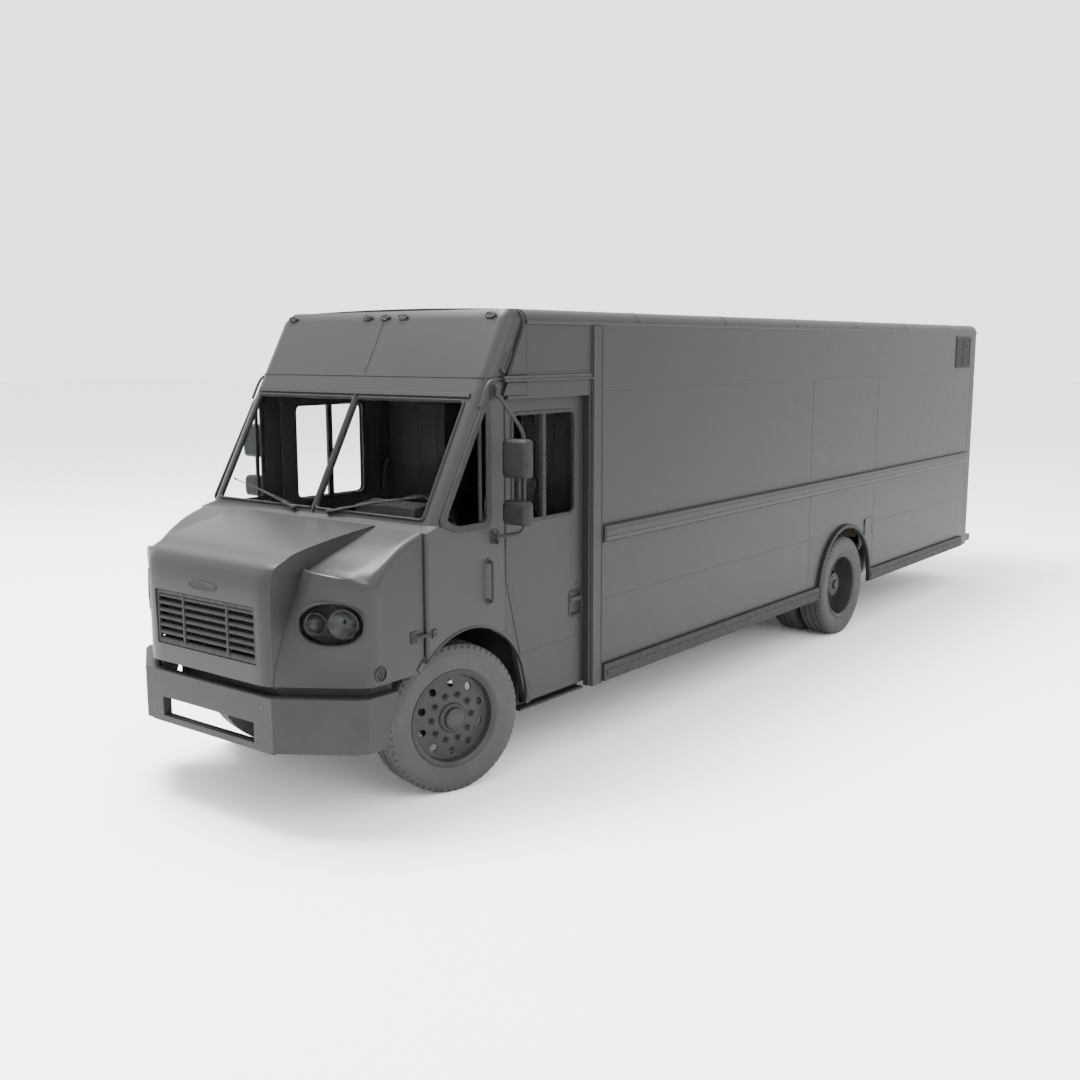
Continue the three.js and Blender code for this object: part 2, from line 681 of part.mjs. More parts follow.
// ---------------------------------------------------------------- wheels
function tyre() {
  const w = TYRE_W / 2;
  const flat = TYRE_R / Math.cos(Math.PI / WHEEL_STEPS);
  return turned([
    [BEAD_R + 2, -w + 32],
    [380, -w],
    [440, -w + 12],
    [flat, -w + 34],
    [flat, w - 34],
    [440, w - 12],
    [380, w],
    [BEAD_R + 2, w - 32],
    [BEAD_R + 18, w - 48],
    [415, w - 26],
    [415, -w + 26],
    [BEAD_R + 18, -w + 48],
  ]);
}

// Front rim: the disc stands near the outer face, the hub is bored for the spindle.
function frontRim() {
  const flange = TYRE_W / 2 - 14;
  return turned([
    [BEAD_R - 1, -flange + 16],
    [BEAD_R + 12, -flange + 4],
    [BEAD_R + 12, -flange],
    [BEAD_R - 14, -flange],
    [BEAD_R - 40, 20],
    [170, 62],
    [60, 62],
    [60, 50],
    [34, 50],
    [34, 84],
    [0.001, 100],
    [0.001, 128],
    [52, 124],
    [80, 78],
    [170, 74],
    [BEAD_R - 20, 52],
    [BEAD_R - 16, flange],
    [BEAD_R + 12, flange],
    [BEAD_R + 12, flange - 4],
    [BEAD_R - 1, flange - 16],
  ]);
}

// Rear rims: two dished discs bolted back to back on one hub, seen as a deep dish outside.
function rearRim() {
  const flange = TYRE_W / 2 - 14;
  const half = [
    [46, 190],
    [112, 190],
    [120, 16],
    [170, 16],
    [BEAD_R - 34, DUAL - 60],
    [BEAD_R - 14, DUAL + flange],
    [BEAD_R + 12, DUAL + flange],
    [BEAD_R - 1, DUAL + flange - 16],
    [BEAD_R - 1, DUAL - flange + 16],
    [BEAD_R + 12, DUAL - flange],
    [BEAD_R - 20, DUAL - flange],
    [180, 8],
  ];
  const inner = half.map(([r, x]) => [r, -x]).reverse();
  inner[inner.length - 1] = [46, -60];
  inner[inner.length - 2] = [112, -60];
  return turned([...half, ...inner]);
}

function knuckle() {
  return join([
    rod([0, 0, -70], [0, 0, 70], 34, 12),
    rod([0, 0, 0], [70, 0, 0], 54, 12),
    rod([60, 0, 0], [99, 0, 0], 33, 14),
    block([-22, 22], [0, 170], [-62, -34]),
  ]);
}

// ---------------------------------------------------------------- doors
const DOOR = { x: [968, 1003], y: [PILLAR_REAR + 4, POST_FRONT + 8], z: [452, 2396] };

function cabDoor(side) {
  const outline = [
    [DOOR.y[1], DOOR.z[0]],
    [DOOR.y[1], DOOR.z[1]],
    [DOOR.y[0], DOOR.z[1]],
    [DOOR.y[0], 1282],
    [-3345, DOOR.z[0]],
  ];
  const opening = alongX(roundedBox([-3464, -2819], [1624, 2295], 50), 900, 1100);
  const bar = { y: [-3165, -3125], z: [1600, 2320] };
  const part = (x, y) => opening.intersect(block(x, y, bar.z));
  const ahead = [-3500, bar.y[0]];
  const front = part([900, DOOR.x[1] - 26], ahead);
  const step = part([DOOR.x[1] - 18, 1100], ahead);
  const rear = part([900, 1100], [bar.y[1], -2800]);
  const channel = block([900, DOOR.x[0] + 8], [-3480, -2800], bar.z);
  const grip = alongX(roundedBox([-2872, -2712], [930, 1094], 30), DOOR.x[1] - 14, 1100);
  const pockets = [
    block([900, DOOR.x[1] - 6], [-3330, -2910], [500, 880]),
    block([900, DOOR.x[1] - 6], [-3510, -2910], [920, 1560]),
    block([900, DOOR.x[1] - 6], [-2880, -2730], [1130, 1560]),
    block([900, DOOR.x[1] - 6], [-2880, -2730], [500, 880]),
  ];
  return sided(cut(alongX(outline, ...DOOR.x), [front, step, rear, channel, grip, ...pockets]), side);
}

function doorPane(side) {
  return sided(block([DOOR.x[0], DOOR.x[0] + 6], [-3145, -2802], [1606, 2314]), side);
}

const REAR_DOOR = { half: [3, 815], y: [BODY_REAR - 32, BODY_REAR - 4], z: [FLOOR + 6, 2614] };

function rearDoor(side) {
  const leaf = block(REAR_DOOR.half, REAR_DOOR.y, REAR_DOOR.z);
  const window = alongY(roundedBox([260, 620], [1700, 2250], 50), BODY_REAR - 60, BODY_REAR + 20);
  const glass = block([240, 640], [REAR_DOOR.y[0] + 14, REAR_DOOR.y[0] + 20], [1680, 2270]);
  const hinges = [1100, 1700, 2400].map((z) =>
    join([
      rod([817, BODY_REAR + 10, z - 60], [817, BODY_REAR + 10, z + 60], 9, 8),
      block([700, 817], [BODY_REAR - 5, BODY_REAR + 8], [z - 30, z + 30]),
    ]),
  );
  const panels = [[930, 1620], [2330, 2570]].map((z) =>
    block([60, 760], [REAR_DOOR.y[0] - 5, REAR_DOOR.y[1] - 6], z),
  );
  return sided(join([cut(leaf, [window, ...panels]), glass, ...hinges]), side);
}

function rearHandle() {
  const y = BODY_REAR + 1;
  return join([
    rod([-60, y - 3, 1300], [-60, y + 26, 1300], 24, 10),
    alongY(roundedBox([-76, -44], [1140, 1320], 12, 2), y + 20, y + 36),
  ]);
}

// ---------------------------------------------------------------- cab fittings
function dashboard() {
  const profile = [
    [-4190, 1330],
    [-3930, 1330],
    [-3860, 1420],
    [-3880, 1560],
    [-4000, 1640],
    [-4190, 1640],
  ];
  const binnacle = alongX(
    [[-4040, 1560], [-3800, 1560], [-3780, 1690], [-3850, 1760], [-4000, 1740]],
    190,
    690,
  );
  const column = rod([430, -3960, 1380], [430, -3622, 1558], 30, 10);
  return join([alongX(profile, -940, 940), binnacle, column]);
}

const WHEEL_CENTRE = [430, -3600, 1570];
const WHEEL_TILT = Math.atan2(160, 305);

function steeringWheel() {
  const rim = new THREE.TorusGeometry(225, 15, 6, 24);
  const hub = new THREE.CylinderGeometry(48, 40, 46, 12).rotateX(Math.PI / 2);
  const spokes = [90, 210, 330].map((degrees) => {
    const angle = THREE.MathUtils.degToRad(degrees);
    return rod([0, 0, 0], [225 * Math.cos(angle), 225 * Math.sin(angle), 0], 12, 6);
  });
  return join([solid(rim), solid(hub), ...spokes]);
}

function pedal(x, width, height) {
  const arm = bentRod([[x, -4060, 1290], [x, -4040, 1100], [x, -4000, 1000]], 9);
  const pad = new THREE.BoxGeometry(width, 14, height).rotateX(-0.5).translate(x, -3992, 990);
  return join([arm, solid(pad), rod([x - 30, -4060, 1290], [x + 30, -4060, 1290], 14, 8)]);
}

function seatCushion() {
  return alongX(roundedBox([-3380, -2910], [1110, 1225], 40), 200, 690);
}

function seatBack() {
  const back = alongX(roundedBox([-60, 60], [0, 640], 50), 205, 685);
  return back.rotate([-12, 0, 0]).translate([0, -2910, 1242]);
}

// ---------------------------------------------------------------- mirrors and wipers
function mirrorArm(side) {
  const { x, y } = MIRROR_PIVOT;
  const path = [
    [x, y, 2431],
    [MIRROR.x, MIRROR.y, MIRROR.z[1]],
    [MIRROR.x, MIRROR.y, MIRROR.z[0]],
    [x, y, 1569],
  ];
  const tube = bentRod(path, 12);
  const eyes = [2431, 1569].map((z) => rod([x, y, z - 22], [x, y, z + 22], 13, 8));
  return sided(join([tube, ...eyes]), side);
}

function mirrorBrackets(side) {
  const { x, y } = MIRROR_PIVOT;
  const lugs = [
    [2431, 34],
    [1569, -34],
  ];
  const brackets = lugs.map(([z, lift]) =>
    join([
      block([CAB_HALF - 4, CAB_HALF + 9], [y - 32, y + 32], [z - 42, z + 42]),
      block([CAB_HALF + 4, x + 14], [y - 14, y + 14], [z + lift - 8, z + lift + 8]),
    ]),
  );
  return brackets.map((bracket) => sided(bracket, side));
}

function mirrorHeads(side) {
  const y = [MIRROR.y - 105, MIRROR.y - 30];
  const head = (z, half) =>
    alongZ(roundedBox([MIRROR.x - half, MIRROR.x + half], y, 28), z[0], z[1]);
  const clamp = (z) =>
    block([MIRROR.x - 22, MIRROR.x + 22], [MIRROR.y - 40, MIRROR.y + 20], [z - 25, z + 25]);
  const web = block([MIRROR.x - 10, MIRROR.x + 10], [MIRROR.y - 60, MIRROR.y - 36], [1760, 1960]);
  const bore = rod([MIRROR.x, MIRROR.y, 1500], [MIRROR.x, MIRROR.y, 2300], 14, 8);
  const heads = [head([1931, 2165], 95), head([1650, 1800], 95)];
  return sided(cut(join([...heads, clamp(2050), clamp(1725), web]), [bore]), side);
}

function wiper(side) {
  const reach = (x, z, lift) => [x, frontY(z) - lift, z];
  const arm = rod(reach(161, 1700, 30), reach(520, 1775, 30), 7, 6);
  const blade = bentRod([reach(215, 1725, 12), reach(850, 1835, 12)], 6, 6);
  const link = rod(reach(520, 1775, 30), reach(520, 1778, 12), 7, 6);
  const boss = rod(reach(161, 1700, 16), reach(161, 1700, 36), 15, 8);
  return sided(join([arm, blade, link, boss]), side);
}

function fuelDoor() {
  return alongX(roundedBox([1858, 2062], [868, 1058], 20), BODY_HALF + GAP, BODY_HALF + 8);
}

// ---------------------------------------------------------------- assembly
place('ladder_frame', ladderFrame(), STEEL);
place('front_axle', frontAxle(), STEEL);
place('rear_axle', rearAxle(), STEEL);
place('engine', engine(), STEEL);
place('drive_shaft', driveShaft(), STEEL);
place('fuel_tank', fuelTank(), ALLOY);
place('cab_floor', cabFloor(), PLASTIC);
place('cargo_floor', cargoFloor(), TRIM);
place('cab_front', cabFront(), PAINT);
place('roof', roofShell(), PAINT);
place('rear_frame', rearFrame(), PAINT);
place('cab_bulkhead', bulkhead(), PLASTIC);
place('hood', hoodShell(), PAINT);
place('grille', grille(), TRIM);
place('front_bumper', frontBumper(), TRIM);
place('rear_bumper', rearBumper(), TRIM);
place('dashboard', dashboard(), PLASTIC);
place('brake_pedal', pedal(400, 80, 60), RUBBER);
place('accelerator_pedal', pedal(320, 50, 120), RUBBER);
place('seat_cushion', seatCushion(), CLOTH);
place('seat_back', seatBack(), CLOTH);
place('fuel_door', fuelDoor(), PAINT);
place('rear_door_handle', rearHandle(), STEEL);

const column = new THREE.Group();
column.position.set(...WHEEL_CENTRE);
column.rotation.x = -(Math.PI / 2 - WHEEL_TILT);
truck.add(column);
place('steering_wheel', steeringWheel(), PLASTIC, column);

for (const side of [1, -1]) {
  const name = sideName(side);
  place(`side_panel_${name}`, sidePanel(side), PAINT);
  place(`belt_rail_${name}`, beltRail(side), PAINT);
  place(`lower_trim_${name}`, lowerTrim(side), TRIM);
  place(`windshield_${name}`, windshieldPane(side), GLASS);
  place(`quarter_window_${name}`, quarterPane(side), GLASS);
  place(`headlight_${name}`, headlight(side), GLASS);
  place(`cab_door_${name}`, cabDoor(side), PAINT);
  place(`door_pane_${name}`, doorPane(side), GLASS);
  place(`rear_door_${name}`, rearDoor(side), PAINT);
  place(`mirror_arm_${name}`, mirrorArm(side), STEEL);
  place(`mirror_${name}`, mirrorHeads(side), PLASTIC);
  place(`wiper_${name}`, wiper(side), PLASTIC);

  const steered = new THREE.Group();
  steered.position.set(side * KINGPIN, FRONT_AXLE, TYRE_R);
  steered.rotation.z = STEER_REST;
  truck.add(steered);
  const outward = new THREE.Group();
  outward.rotation.z = side > 0 ? 0 : Math.PI;
  steered.add(outward);
  place(`knuckle_${name}`, knuckle(), STEEL, outward);
  const front = new THREE.Group();
  front.position.x = 25;
  outward.add(front);
  place(`front_rim_${name}`, frontRim(), ALLOY, front);
  place(`front_tyre_${name}`, tyre(), RUBBER, front);

  const dual = new THREE.Group();
  dual.position.set(side * 779, REAR_AXLE, TYRE_R);
  dual.rotation.z = side > 0 ? 0 : Math.PI;
  truck.add(dual);
  place(`rear_rim_${name}`, rearRim(), ALLOY, dual);
  place(`rear_tyre_${name}_outer`, tyre(), RUBBER, dual).position.x = DUAL;
  place(`rear_tyre_${name}_inner`, tyre(), RUBBER, dual).position.x = -DUAL;
}

export default truck;
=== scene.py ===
"""A walk-in delivery truck in satin dark grey paint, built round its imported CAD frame.

Metres, in the frame's own axes: the front faces -Y, the driver's side is +X, +Z is up.
"""
import math

import bmesh
import bpy
from mathutils import Matrix, Vector


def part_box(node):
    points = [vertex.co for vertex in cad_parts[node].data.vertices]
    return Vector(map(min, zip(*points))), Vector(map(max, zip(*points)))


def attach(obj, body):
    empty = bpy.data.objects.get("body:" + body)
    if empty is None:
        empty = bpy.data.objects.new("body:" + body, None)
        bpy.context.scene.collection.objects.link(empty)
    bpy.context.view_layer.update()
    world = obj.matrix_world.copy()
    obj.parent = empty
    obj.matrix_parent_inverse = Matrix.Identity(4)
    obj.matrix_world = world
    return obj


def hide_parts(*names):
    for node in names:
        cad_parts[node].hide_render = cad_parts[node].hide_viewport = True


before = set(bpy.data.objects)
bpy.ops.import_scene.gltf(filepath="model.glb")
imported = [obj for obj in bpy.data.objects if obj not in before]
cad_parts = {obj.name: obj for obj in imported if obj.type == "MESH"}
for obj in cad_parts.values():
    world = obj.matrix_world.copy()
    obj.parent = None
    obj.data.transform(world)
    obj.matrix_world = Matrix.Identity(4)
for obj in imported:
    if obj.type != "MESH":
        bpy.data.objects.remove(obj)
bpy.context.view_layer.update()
SIDES = (("left", 1), ("right", -1))

# ------------------------------------------------------------------ camera, light and floor
CAMERA_PLACE = (5.659, -9.161, 2.696)
CAMERA_AZIMUTH = math.radians(37.94)
CAMERA_PITCH = math.radians(-9.10)
CAMERA_ROLL = math.radians(-0.12)
CAMERA_LENS = 40.04
SENSOR = 36.0


def make_camera():
    data = bpy.data.cameras.new("camera")
    data.lens = CAMERA_LENS
    data.sensor_width = SENSOR
    data.clip_end = 200
    camera = bpy.data.objects.new("camera", data)
    camera.location = CAMERA_PLACE
    camera.rotation_mode = "XYZ"
    turn = Matrix.Rotation(CAMERA_AZIMUTH, 4, "Z")
    tilt = Matrix.Rotation(math.pi / 2 + CAMERA_PITCH, 4, "X")
    roll = Matrix.Rotation(CAMERA_ROLL, 4, "Z")
    camera.rotation_euler = (turn @ tilt @ roll).to_euler("XYZ")
    bpy.context.scene.collection.objects.link(camera)
    bpy.context.scene.camera = camera


def area_light(name, place, aim, size, power):
    data = bpy.data.lights.new(name, "AREA")
    data.shape = "SQUARE"
    data.size = size
    data.energy = power
    light = bpy.data.objects.new(name, data)
    light.location = place
    light.rotation_euler = (Vector(aim) - Vector(place)).to_track_quat("-Z", "Y").to_euler()
    bpy.context.scene.collection.objects.link(light)


SKY_STRENGTH = 2.6
KEY_POWER = 11000
FILL_POWER = 800
LAMP_SIZE = 8
FLOOR_REACH = 90


def make_studio():
    world = bpy.data.worlds.new("studio")
    world.use_nodes = True
    world.node_tree.nodes["Background"].inputs["Color"].default_value = (1.0, 1.0, 1.0, 1)
    world.node_tree.nodes["Background"].inputs["Strength"].default_value = SKY_STRENGTH
    bpy.context.scene.world = world
    area_light("key", (-4, -4, 16), (0, -1, 1), LAMP_SIZE, KEY_POWER)
    area_light("fill", (11, -6, 8), (0, -2, 1), LAMP_SIZE, FILL_POWER)
    floor_mesh = bpy.data.meshes.new("studio_floor")
    reach = FLOOR_REACH
    corners = [(-reach, -reach, 0), (reach, -reach, 0), (reach, reach, 0), (-reach, reach, 0)]
    floor_mesh.from_pydata(corners, [], [(0, 1, 2, 3)])
    floor = bpy.data.objects.new("studio_floor", floor_mesh)
    bpy.context.scene.collection.objects.link(floor)
    pale = bpy.data.materials.new("studio_floor")
    pale.use_nodes = True
    shader = pale.node_tree.nodes["Principled BSDF"]
    shader.inputs["Base Color"].default_value = (0.93, 0.93, 0.93, 1)
    shader.inputs["Roughness"].default_value = 0.9
    floor.data.materials.append(pale)


# ------------------------------------------------------------------ materials
def shader_of(name):
    material = bpy.data.materials.new(name)
    material.use_nodes = True
    nodes = material.node_tree.nodes
    return material, nodes, material.node_tree.links, nodes["Principled BSDF"]


def noise(nodes, links, scale, detail=4.0, rough=0.6, stretch=None):
    place = nodes.new("ShaderNodeTexCoord")
    source = place.outputs["Object"]
    if stretch:
        mapping = nodes.new("ShaderNodeMapping")
        mapping.inputs["Scale"].default_value = stretch
        links.new(source, mapping.inputs["Vector"])
        source = mapping.outputs["Vector"]
    texture = nodes.new("ShaderNodeTexNoise")
    texture.inputs["Scale"].default_value = scale
    texture.inputs["Detail"].default_value = detail
    texture.inputs["Roughness"].default_value = rough
    links.new(source, texture.inputs["Vector"])
    return texture.outputs["Fac"]


def ramp(nodes, links, value, stops):
    made = nodes.new("ShaderNodeValToRGB")
    elements = made.color_ramp.elements
    elements[0].position, elements[0].color = stops[0][0], (*stops[0][1], 1)
    elements[1].position, elements[1].color = stops[-1][0], (*stops[-1][1], 1)
    for position, color in stops[1:-1]:
        elements.new(position).color = (*color, 1)
    links.new(value, made.inputs["Fac"])
    return made.outputs["Color"]


def mix_color(nodes, links, factor, a, b):
    mix = nodes.new("ShaderNodeMix")
    mix.data_type = "RGBA"
    for socket, value in ((mix.inputs[0], factor), (mix.inputs[6], a), (mix.inputs[7], b)):
        if isinstance(value, tuple):
            socket.default_value = (*value, 1)
        elif isinstance(value, float):
            socket.default_value = value
        else:
            links.new(value, socket)
    return mix.outputs[2]


def map_range(nodes, links, value, source, target):
    made = nodes.new("ShaderNodeMapRange")
    links.new(value, made.inputs["Value"])
    for name, number in zip(("From Min", "From Max", "To Min", "To Max"), (*source, *target)):
        made.inputs[name].default_value = number
    return made.outputs["Result"]


def multiply(nodes, links, a, b):
    made = nodes.new("ShaderNodeMath")
    made.operation = "MULTIPLY"
    made.use_clamp = True
    links.new(a, made.inputs[0])
    links.new(b, made.inputs[1])
    return made.outputs[0]


def bump(nodes, links, shader, height, strength, distance, below=None):
    made = nodes.new("ShaderNodeBump")
    made.inputs["Strength"].default_value = strength
    made.inputs["Distance"].default_value = distance
    links.new(height, made.inputs["Height"])
    if below:
        links.new(below, made.inputs["Normal"])
    links.new(made.outputs["Normal"], shader.inputs["Normal"])
    return made.outputs["Normal"]


def low_dust(nodes, links, top, patch_scale):
    """A mask that is 1 near the road and fades out at the height top, broken up by noise."""
    place = nodes.new("ShaderNodeTexCoord")
    split = nodes.new("ShaderNodeSeparateXYZ")
    links.new(place.outputs["Object"], split.inputs[0])
    fade = map_range(nodes, links, split.outputs["Z"], (0.25, top), (1.0, 0.0))
    patches = map_range(nodes, links, noise(nodes, links, patch_scale, 6.0), (0.35, 0.7), (0.15, 1.0))
    return multiply(nodes, links, fade, patches)


DUST = (0.045, 0.0445, 0.042)


def paint(name, base, rough=0.42, dust_top=1.3, dust=0.16, peel=0.012):
    material, nodes, links, shader = shader_of(name)
    light = tuple(c * 1.03 for c in base)
    dark = tuple(c * 0.97 for c in base)
    tone = ramp(nodes, links, noise(nodes, links, 1.7, 5.0), [(0.3, dark), (0.7, light)])
    dusty = low_dust(nodes, links, dust_top, 6.0)
    amount = map_range(nodes, links, dusty, (0.0, 1.0), (0.0, dust))
    color = mix_color(nodes, links, amount, tone, DUST)
    links.new(color, shader.inputs["Base Color"])
    smudge = map_range(
        nodes, links, noise(nodes, links, 9.0, 7.0), (0.3, 0.7), (rough - 0.01, rough + 0.02)
    )
    links.new(smudge, shader.inputs["Roughness"])
    shader.inputs["Specular IOR Level"].default_value = 0.16
    orange = bump(nodes, links, shader, noise(nodes, links, 260.0, 2.0), 0.12, peel * 0.1)
    bump(nodes, links, shader, noise(nodes, links, 1.6, 1.0), 0.02, 0.003, orange)
    return material


def moulded(name, base, rough=0.62, grain=900.0, depth=0.0006, metallic=0.0):
    material, nodes, links, shader = shader_of(name)
    light = tuple(c * 1.18 for c in base)
    dark = tuple(c * 0.84 for c in base)
    tone = ramp(nodes, links, noise(nodes, links, 14.0, 6.0), [(0.3, dark), (0.72, light)])
    links.new(tone, shader.inputs["Base Color"])
    scuffs = map_range(
        nodes, links, noise(nodes, links, 40.0, 5.0), (0.3, 0.7), (rough - 0.1, rough + 0.12)
    )
    links.new(scuffs, shader.inputs["Roughness"])
    shader.inputs["Metallic"].default_value = metallic
    shader.inputs["Specular IOR Level"].default_value = 0.2
    bump(nodes, links, shader, noise(nodes, links, grain, 2.0), 0.5, depth)
    return material


def cast(name, base):
    return moulded(name, base, 0.7, 120.0, 0.003, 0.35)


def tyre_rubber():
    material, nodes, links, shader = shader_of("tyre_rubber")
    scuff = noise(nodes, links, 22.0, 8.0)
    tone = ramp(nodes, links, scuff, [(0.3, (0.016, 0.016, 0.0163)), (0.7, (0.025, 0.0249, 0.0246))])
    dusty = low_dust(nodes, links, 1.6, 9.0)
    amount = map_range(nodes, links, dusty, (0.0, 1.0), (0.0, 0.35))
    links.new(mix_color(nodes, links, amount, tone, DUST), shader.inputs["Base Color"])
    links.new(map_range(nodes, links, scuff, (0.3, 0.7), (0.72, 0.92)), shader.inputs["Roughness"])
    bump(nodes, links, shader, noise(nodes, links, 180.0, 4.0), 0.35, 0.0012)
    return material


def clear_glass(name, tint, rough=0.015):
    material, _, _, shader = shader_of(name)
    shader.inputs["Base Color"].default_value = (*tint, 1)
    shader.inputs["Transmission Weight"].default_value = 1.0
    shader.inputs["IOR"].default_value = 1.04
    shader.inputs["Roughness"].default_value = rough
    return material


def woven_cloth():
    material, nodes, links, shader = shader_of("seat_cloth")
    place = nodes.new("ShaderNodeTexCoord")
    height = None
    for axis_scale in ((420, 20, 420), (20, 420, 20)):
        mapping = nodes.new("ShaderNodeMapping")
        mapping.inputs["Scale"].default_value = tuple(s / 10 for s in axis_scale)
        links.new(place.outputs["Object"], mapping.inputs["Vector"])
        wave = nodes.new("ShaderNodeTexNoise")
        wave.inputs["Scale"].default_value = 12.0
        wave.inputs["Detail"].default_value = 2.0
        links.new(mapping.outputs["Vector"], wave.inputs["Vector"])
        if height is None:
            height = wave.outputs["Fac"]
        else:
            height = multiply(nodes, links, height, wave.outputs["Fac"])
    tone = ramp(nodes, links, height, [(0.12, (0.006, 0.006, 0.007)), (0.4, (0.016, 0.016, 0.018))])
    links.new(tone, shader.inputs["Base Color"])
    shader.inputs["Roughness"].default_value = 0.92
    shader.inputs["Sheen Weight"].default_value = 0.08
    shader.inputs["Sheen Roughness"].default_value = 0.5
    bump(nodes, links, shader, height, 0.6, 0.003)
    return material


def plywood():
    material, nodes, links, shader = shader_of("floor_board")
    grain = noise(nodes, links, 9.0, 9.0, 0.65, (14.0, 0.8, 14.0))
    stops = [(0.3, (0.07, 0.055, 0.04)), (0.55, (0.12, 0.095, 0.065)), (0.75, (0.15, 0.12, 0.085))]
    links.new(ramp(nodes, links, grain, stops), shader.inputs["Base Color"])
    links.new(map_range(nodes, links, grain, (0.2, 0.8), (0.5, 0.75)), shader.inputs["Roughness"])
    bump(nodes, links, shader, grain, 0.25, 0.002)
    return material


def brushed(name, base, rough=0.38):
    material, nodes, links, shader = shader_of(name)
    lines = noise(nodes, links, 60.0, 6.0, 0.7, (1.0, 12.0, 1.0))
    light = tuple(min(1.0, c * 1.12) for c in base)
    dark = tuple(c * 0.85 for c in base)
    links.new(ramp(nodes, links, lines, [(0.3, dark), (0.7, light)]), shader.inputs["Base Color"])
    shader.inputs["Metallic"].default_value = 0.9
    links.new(map_range(nodes, links, lines, (0.3, 0.7), (rough, rough + 0.2)), shader.inputs["Roughness"])
    bump(nodes, links, shader, lines, 0.2, 0.0008)
    return material


MATERIALS = {
    "body_paint": paint("body_paint", (0.0150, 0.0150, 0.0156)),
    "moulded_paint": paint("moulded_paint", (0.0180, 0.0180, 0.0187), 0.38),
    "dark_trim": moulded("dark_trim", (0.011, 0.011, 0.0113)),
    "bumper_steel": paint("bumper_steel", (0.016, 0.016, 0.0165), 0.5, 1.0, 0.3),
    "chassis_steel": paint("chassis_steel", (0.018, 0.018, 0.019), 0.55, 1.4, 0.45, 0.03),
    "cast_metal": cast("cast_metal", (0.045, 0.044, 0.042)),
    "tank_alloy": brushed("tank_alloy", (0.20, 0.20, 0.205)),
    "floor_plate": moulded("floor_plate", (0.012, 0.012, 0.0125), 0.6, 60.0, 0.004, 0.15),
    "floor_board": plywood(),
    "glass": clear_glass("glass", (0.90, 0.94, 0.93), 0.0),
    "lamp_lens": clear_glass("lamp_lens", (0.9, 0.92, 0.93), 0.03),
    "cab_plastic": moulded("cab_plastic", (0.008, 0.008, 0.0085), 0.6, 420.0, 0.0012),
    "pedal_rubber": moulded("pedal_rubber", (0.014, 0.014, 0.014), 0.85, 300.0, 0.001),
    "seat_cloth": woven_cloth(),
    "wiper_black": moulded("wiper_black", (0.012, 0.012, 0.0125), 0.5, 500.0, 0.0005),
    "wheel_steel": paint("wheel_steel", (0.019, 0.019, 0.0195), 0.42, 1.2, 0.3),
    "tyre_rubber": tyre_rubber(),
    "seal_rubber": moulded("seal_rubber", (0.016, 0.016, 0.0165), 0.8, 300.0, 0.0008),
    "reflector": brushed("reflector", (0.035, 0.035, 0.036), 0.3),
    "mirror_glass": brushed("mirror_glass", (0.78, 0.79, 0.8), 0.04),
}


# ------------------------------------------------------------------ making pieces
def shade(mesh, angle=32):
    for polygon in mesh.polygons:
        polygon.use_smooth = True
    mesh.set_sharp_from_angle(angle=math.radians(angle))


def put(name, mesh, body, material, replaces=(), angle=32, weighted=True):
    """Links a piece, gives it its material and slot, and lets it ride on its body."""
    shade(mesh, angle)
    if weighted:
        mesh = modified(mesh, ("WEIGHTED_NORMAL", {"keep_sharp": True, "weight": 90}))
    mesh.name = name
    piece = bpy.data.objects.new(name, mesh)
    bpy.context.scene.collection.objects.link(piece)
    mesh.materials.clear()
    mesh.materials.append(MATERIALS[material])
    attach(piece, body)
    if replaces:
        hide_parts(*replaces)
    return piece


def mesh_of(bm):
    bmesh.ops.recalc_face_normals(bm, faces=bm.faces)
    mesh = bpy.data.meshes.new("piece")
    bm.to_mesh(mesh)
    bm.free()
    return mesh


def merged(meshes):
    bm = bmesh.new()
    for mesh in meshes:
        bm.from_mesh(mesh)
        bpy.data.meshes.remove(mesh)
    made = bpy.data.meshes.new("piece")
    bm.to_mesh(made)
    bm.free()
    return made


def mirrored(mesh):
    """The same shape on the other side of the truck."""
    mesh.transform(Matrix.Scale(-1, 4, (1, 0, 0)))
    mesh.flip_normals()
    return mesh


def sided(mesh, side):
    return mesh if side > 0 else mirrored(mesh)


def block(x, y, z, bevel=0.004, segments=2):
    bm = bmesh.new()
    bmesh.ops.create_cube(bm, size=1)
    size = (x[1] - x[0], y[1] - y[0], z[1] - z[0])
    bmesh.ops.scale(bm, vec=size, verts=bm.verts)
    middle = ((x[0] + x[1]) / 2, (y[0] + y[1]) / 2, (z[0] + z[1]) / 2)
    bmesh.ops.translate(bm, vec=middle, verts=bm.verts)
    bevel = min(bevel, 0.45 * min(size))
    if bevel:
        bmesh.ops.bevel(bm, geom=bm.edges, offset=bevel, segments=segments, profile=0.5, affect="EDGES")
    return mesh_of(bm)


def loft(rings, closed=True, caps=True):
    bm = bmesh.new()
    rows = [[bm.verts.new(point) for point in ring] for ring in rings]
    size = len(rings[0])
    for low, high in zip(rows, rows[1:]):
        for i in range(size if closed else size - 1):
            j = (i + 1) % size
            bm.faces.new((low[i], low[j], high[j], high[i]))
    if caps:
        bm.faces.new(rows[0])
        bm.faces.new(rows[-1])
    return mesh_of(bm)


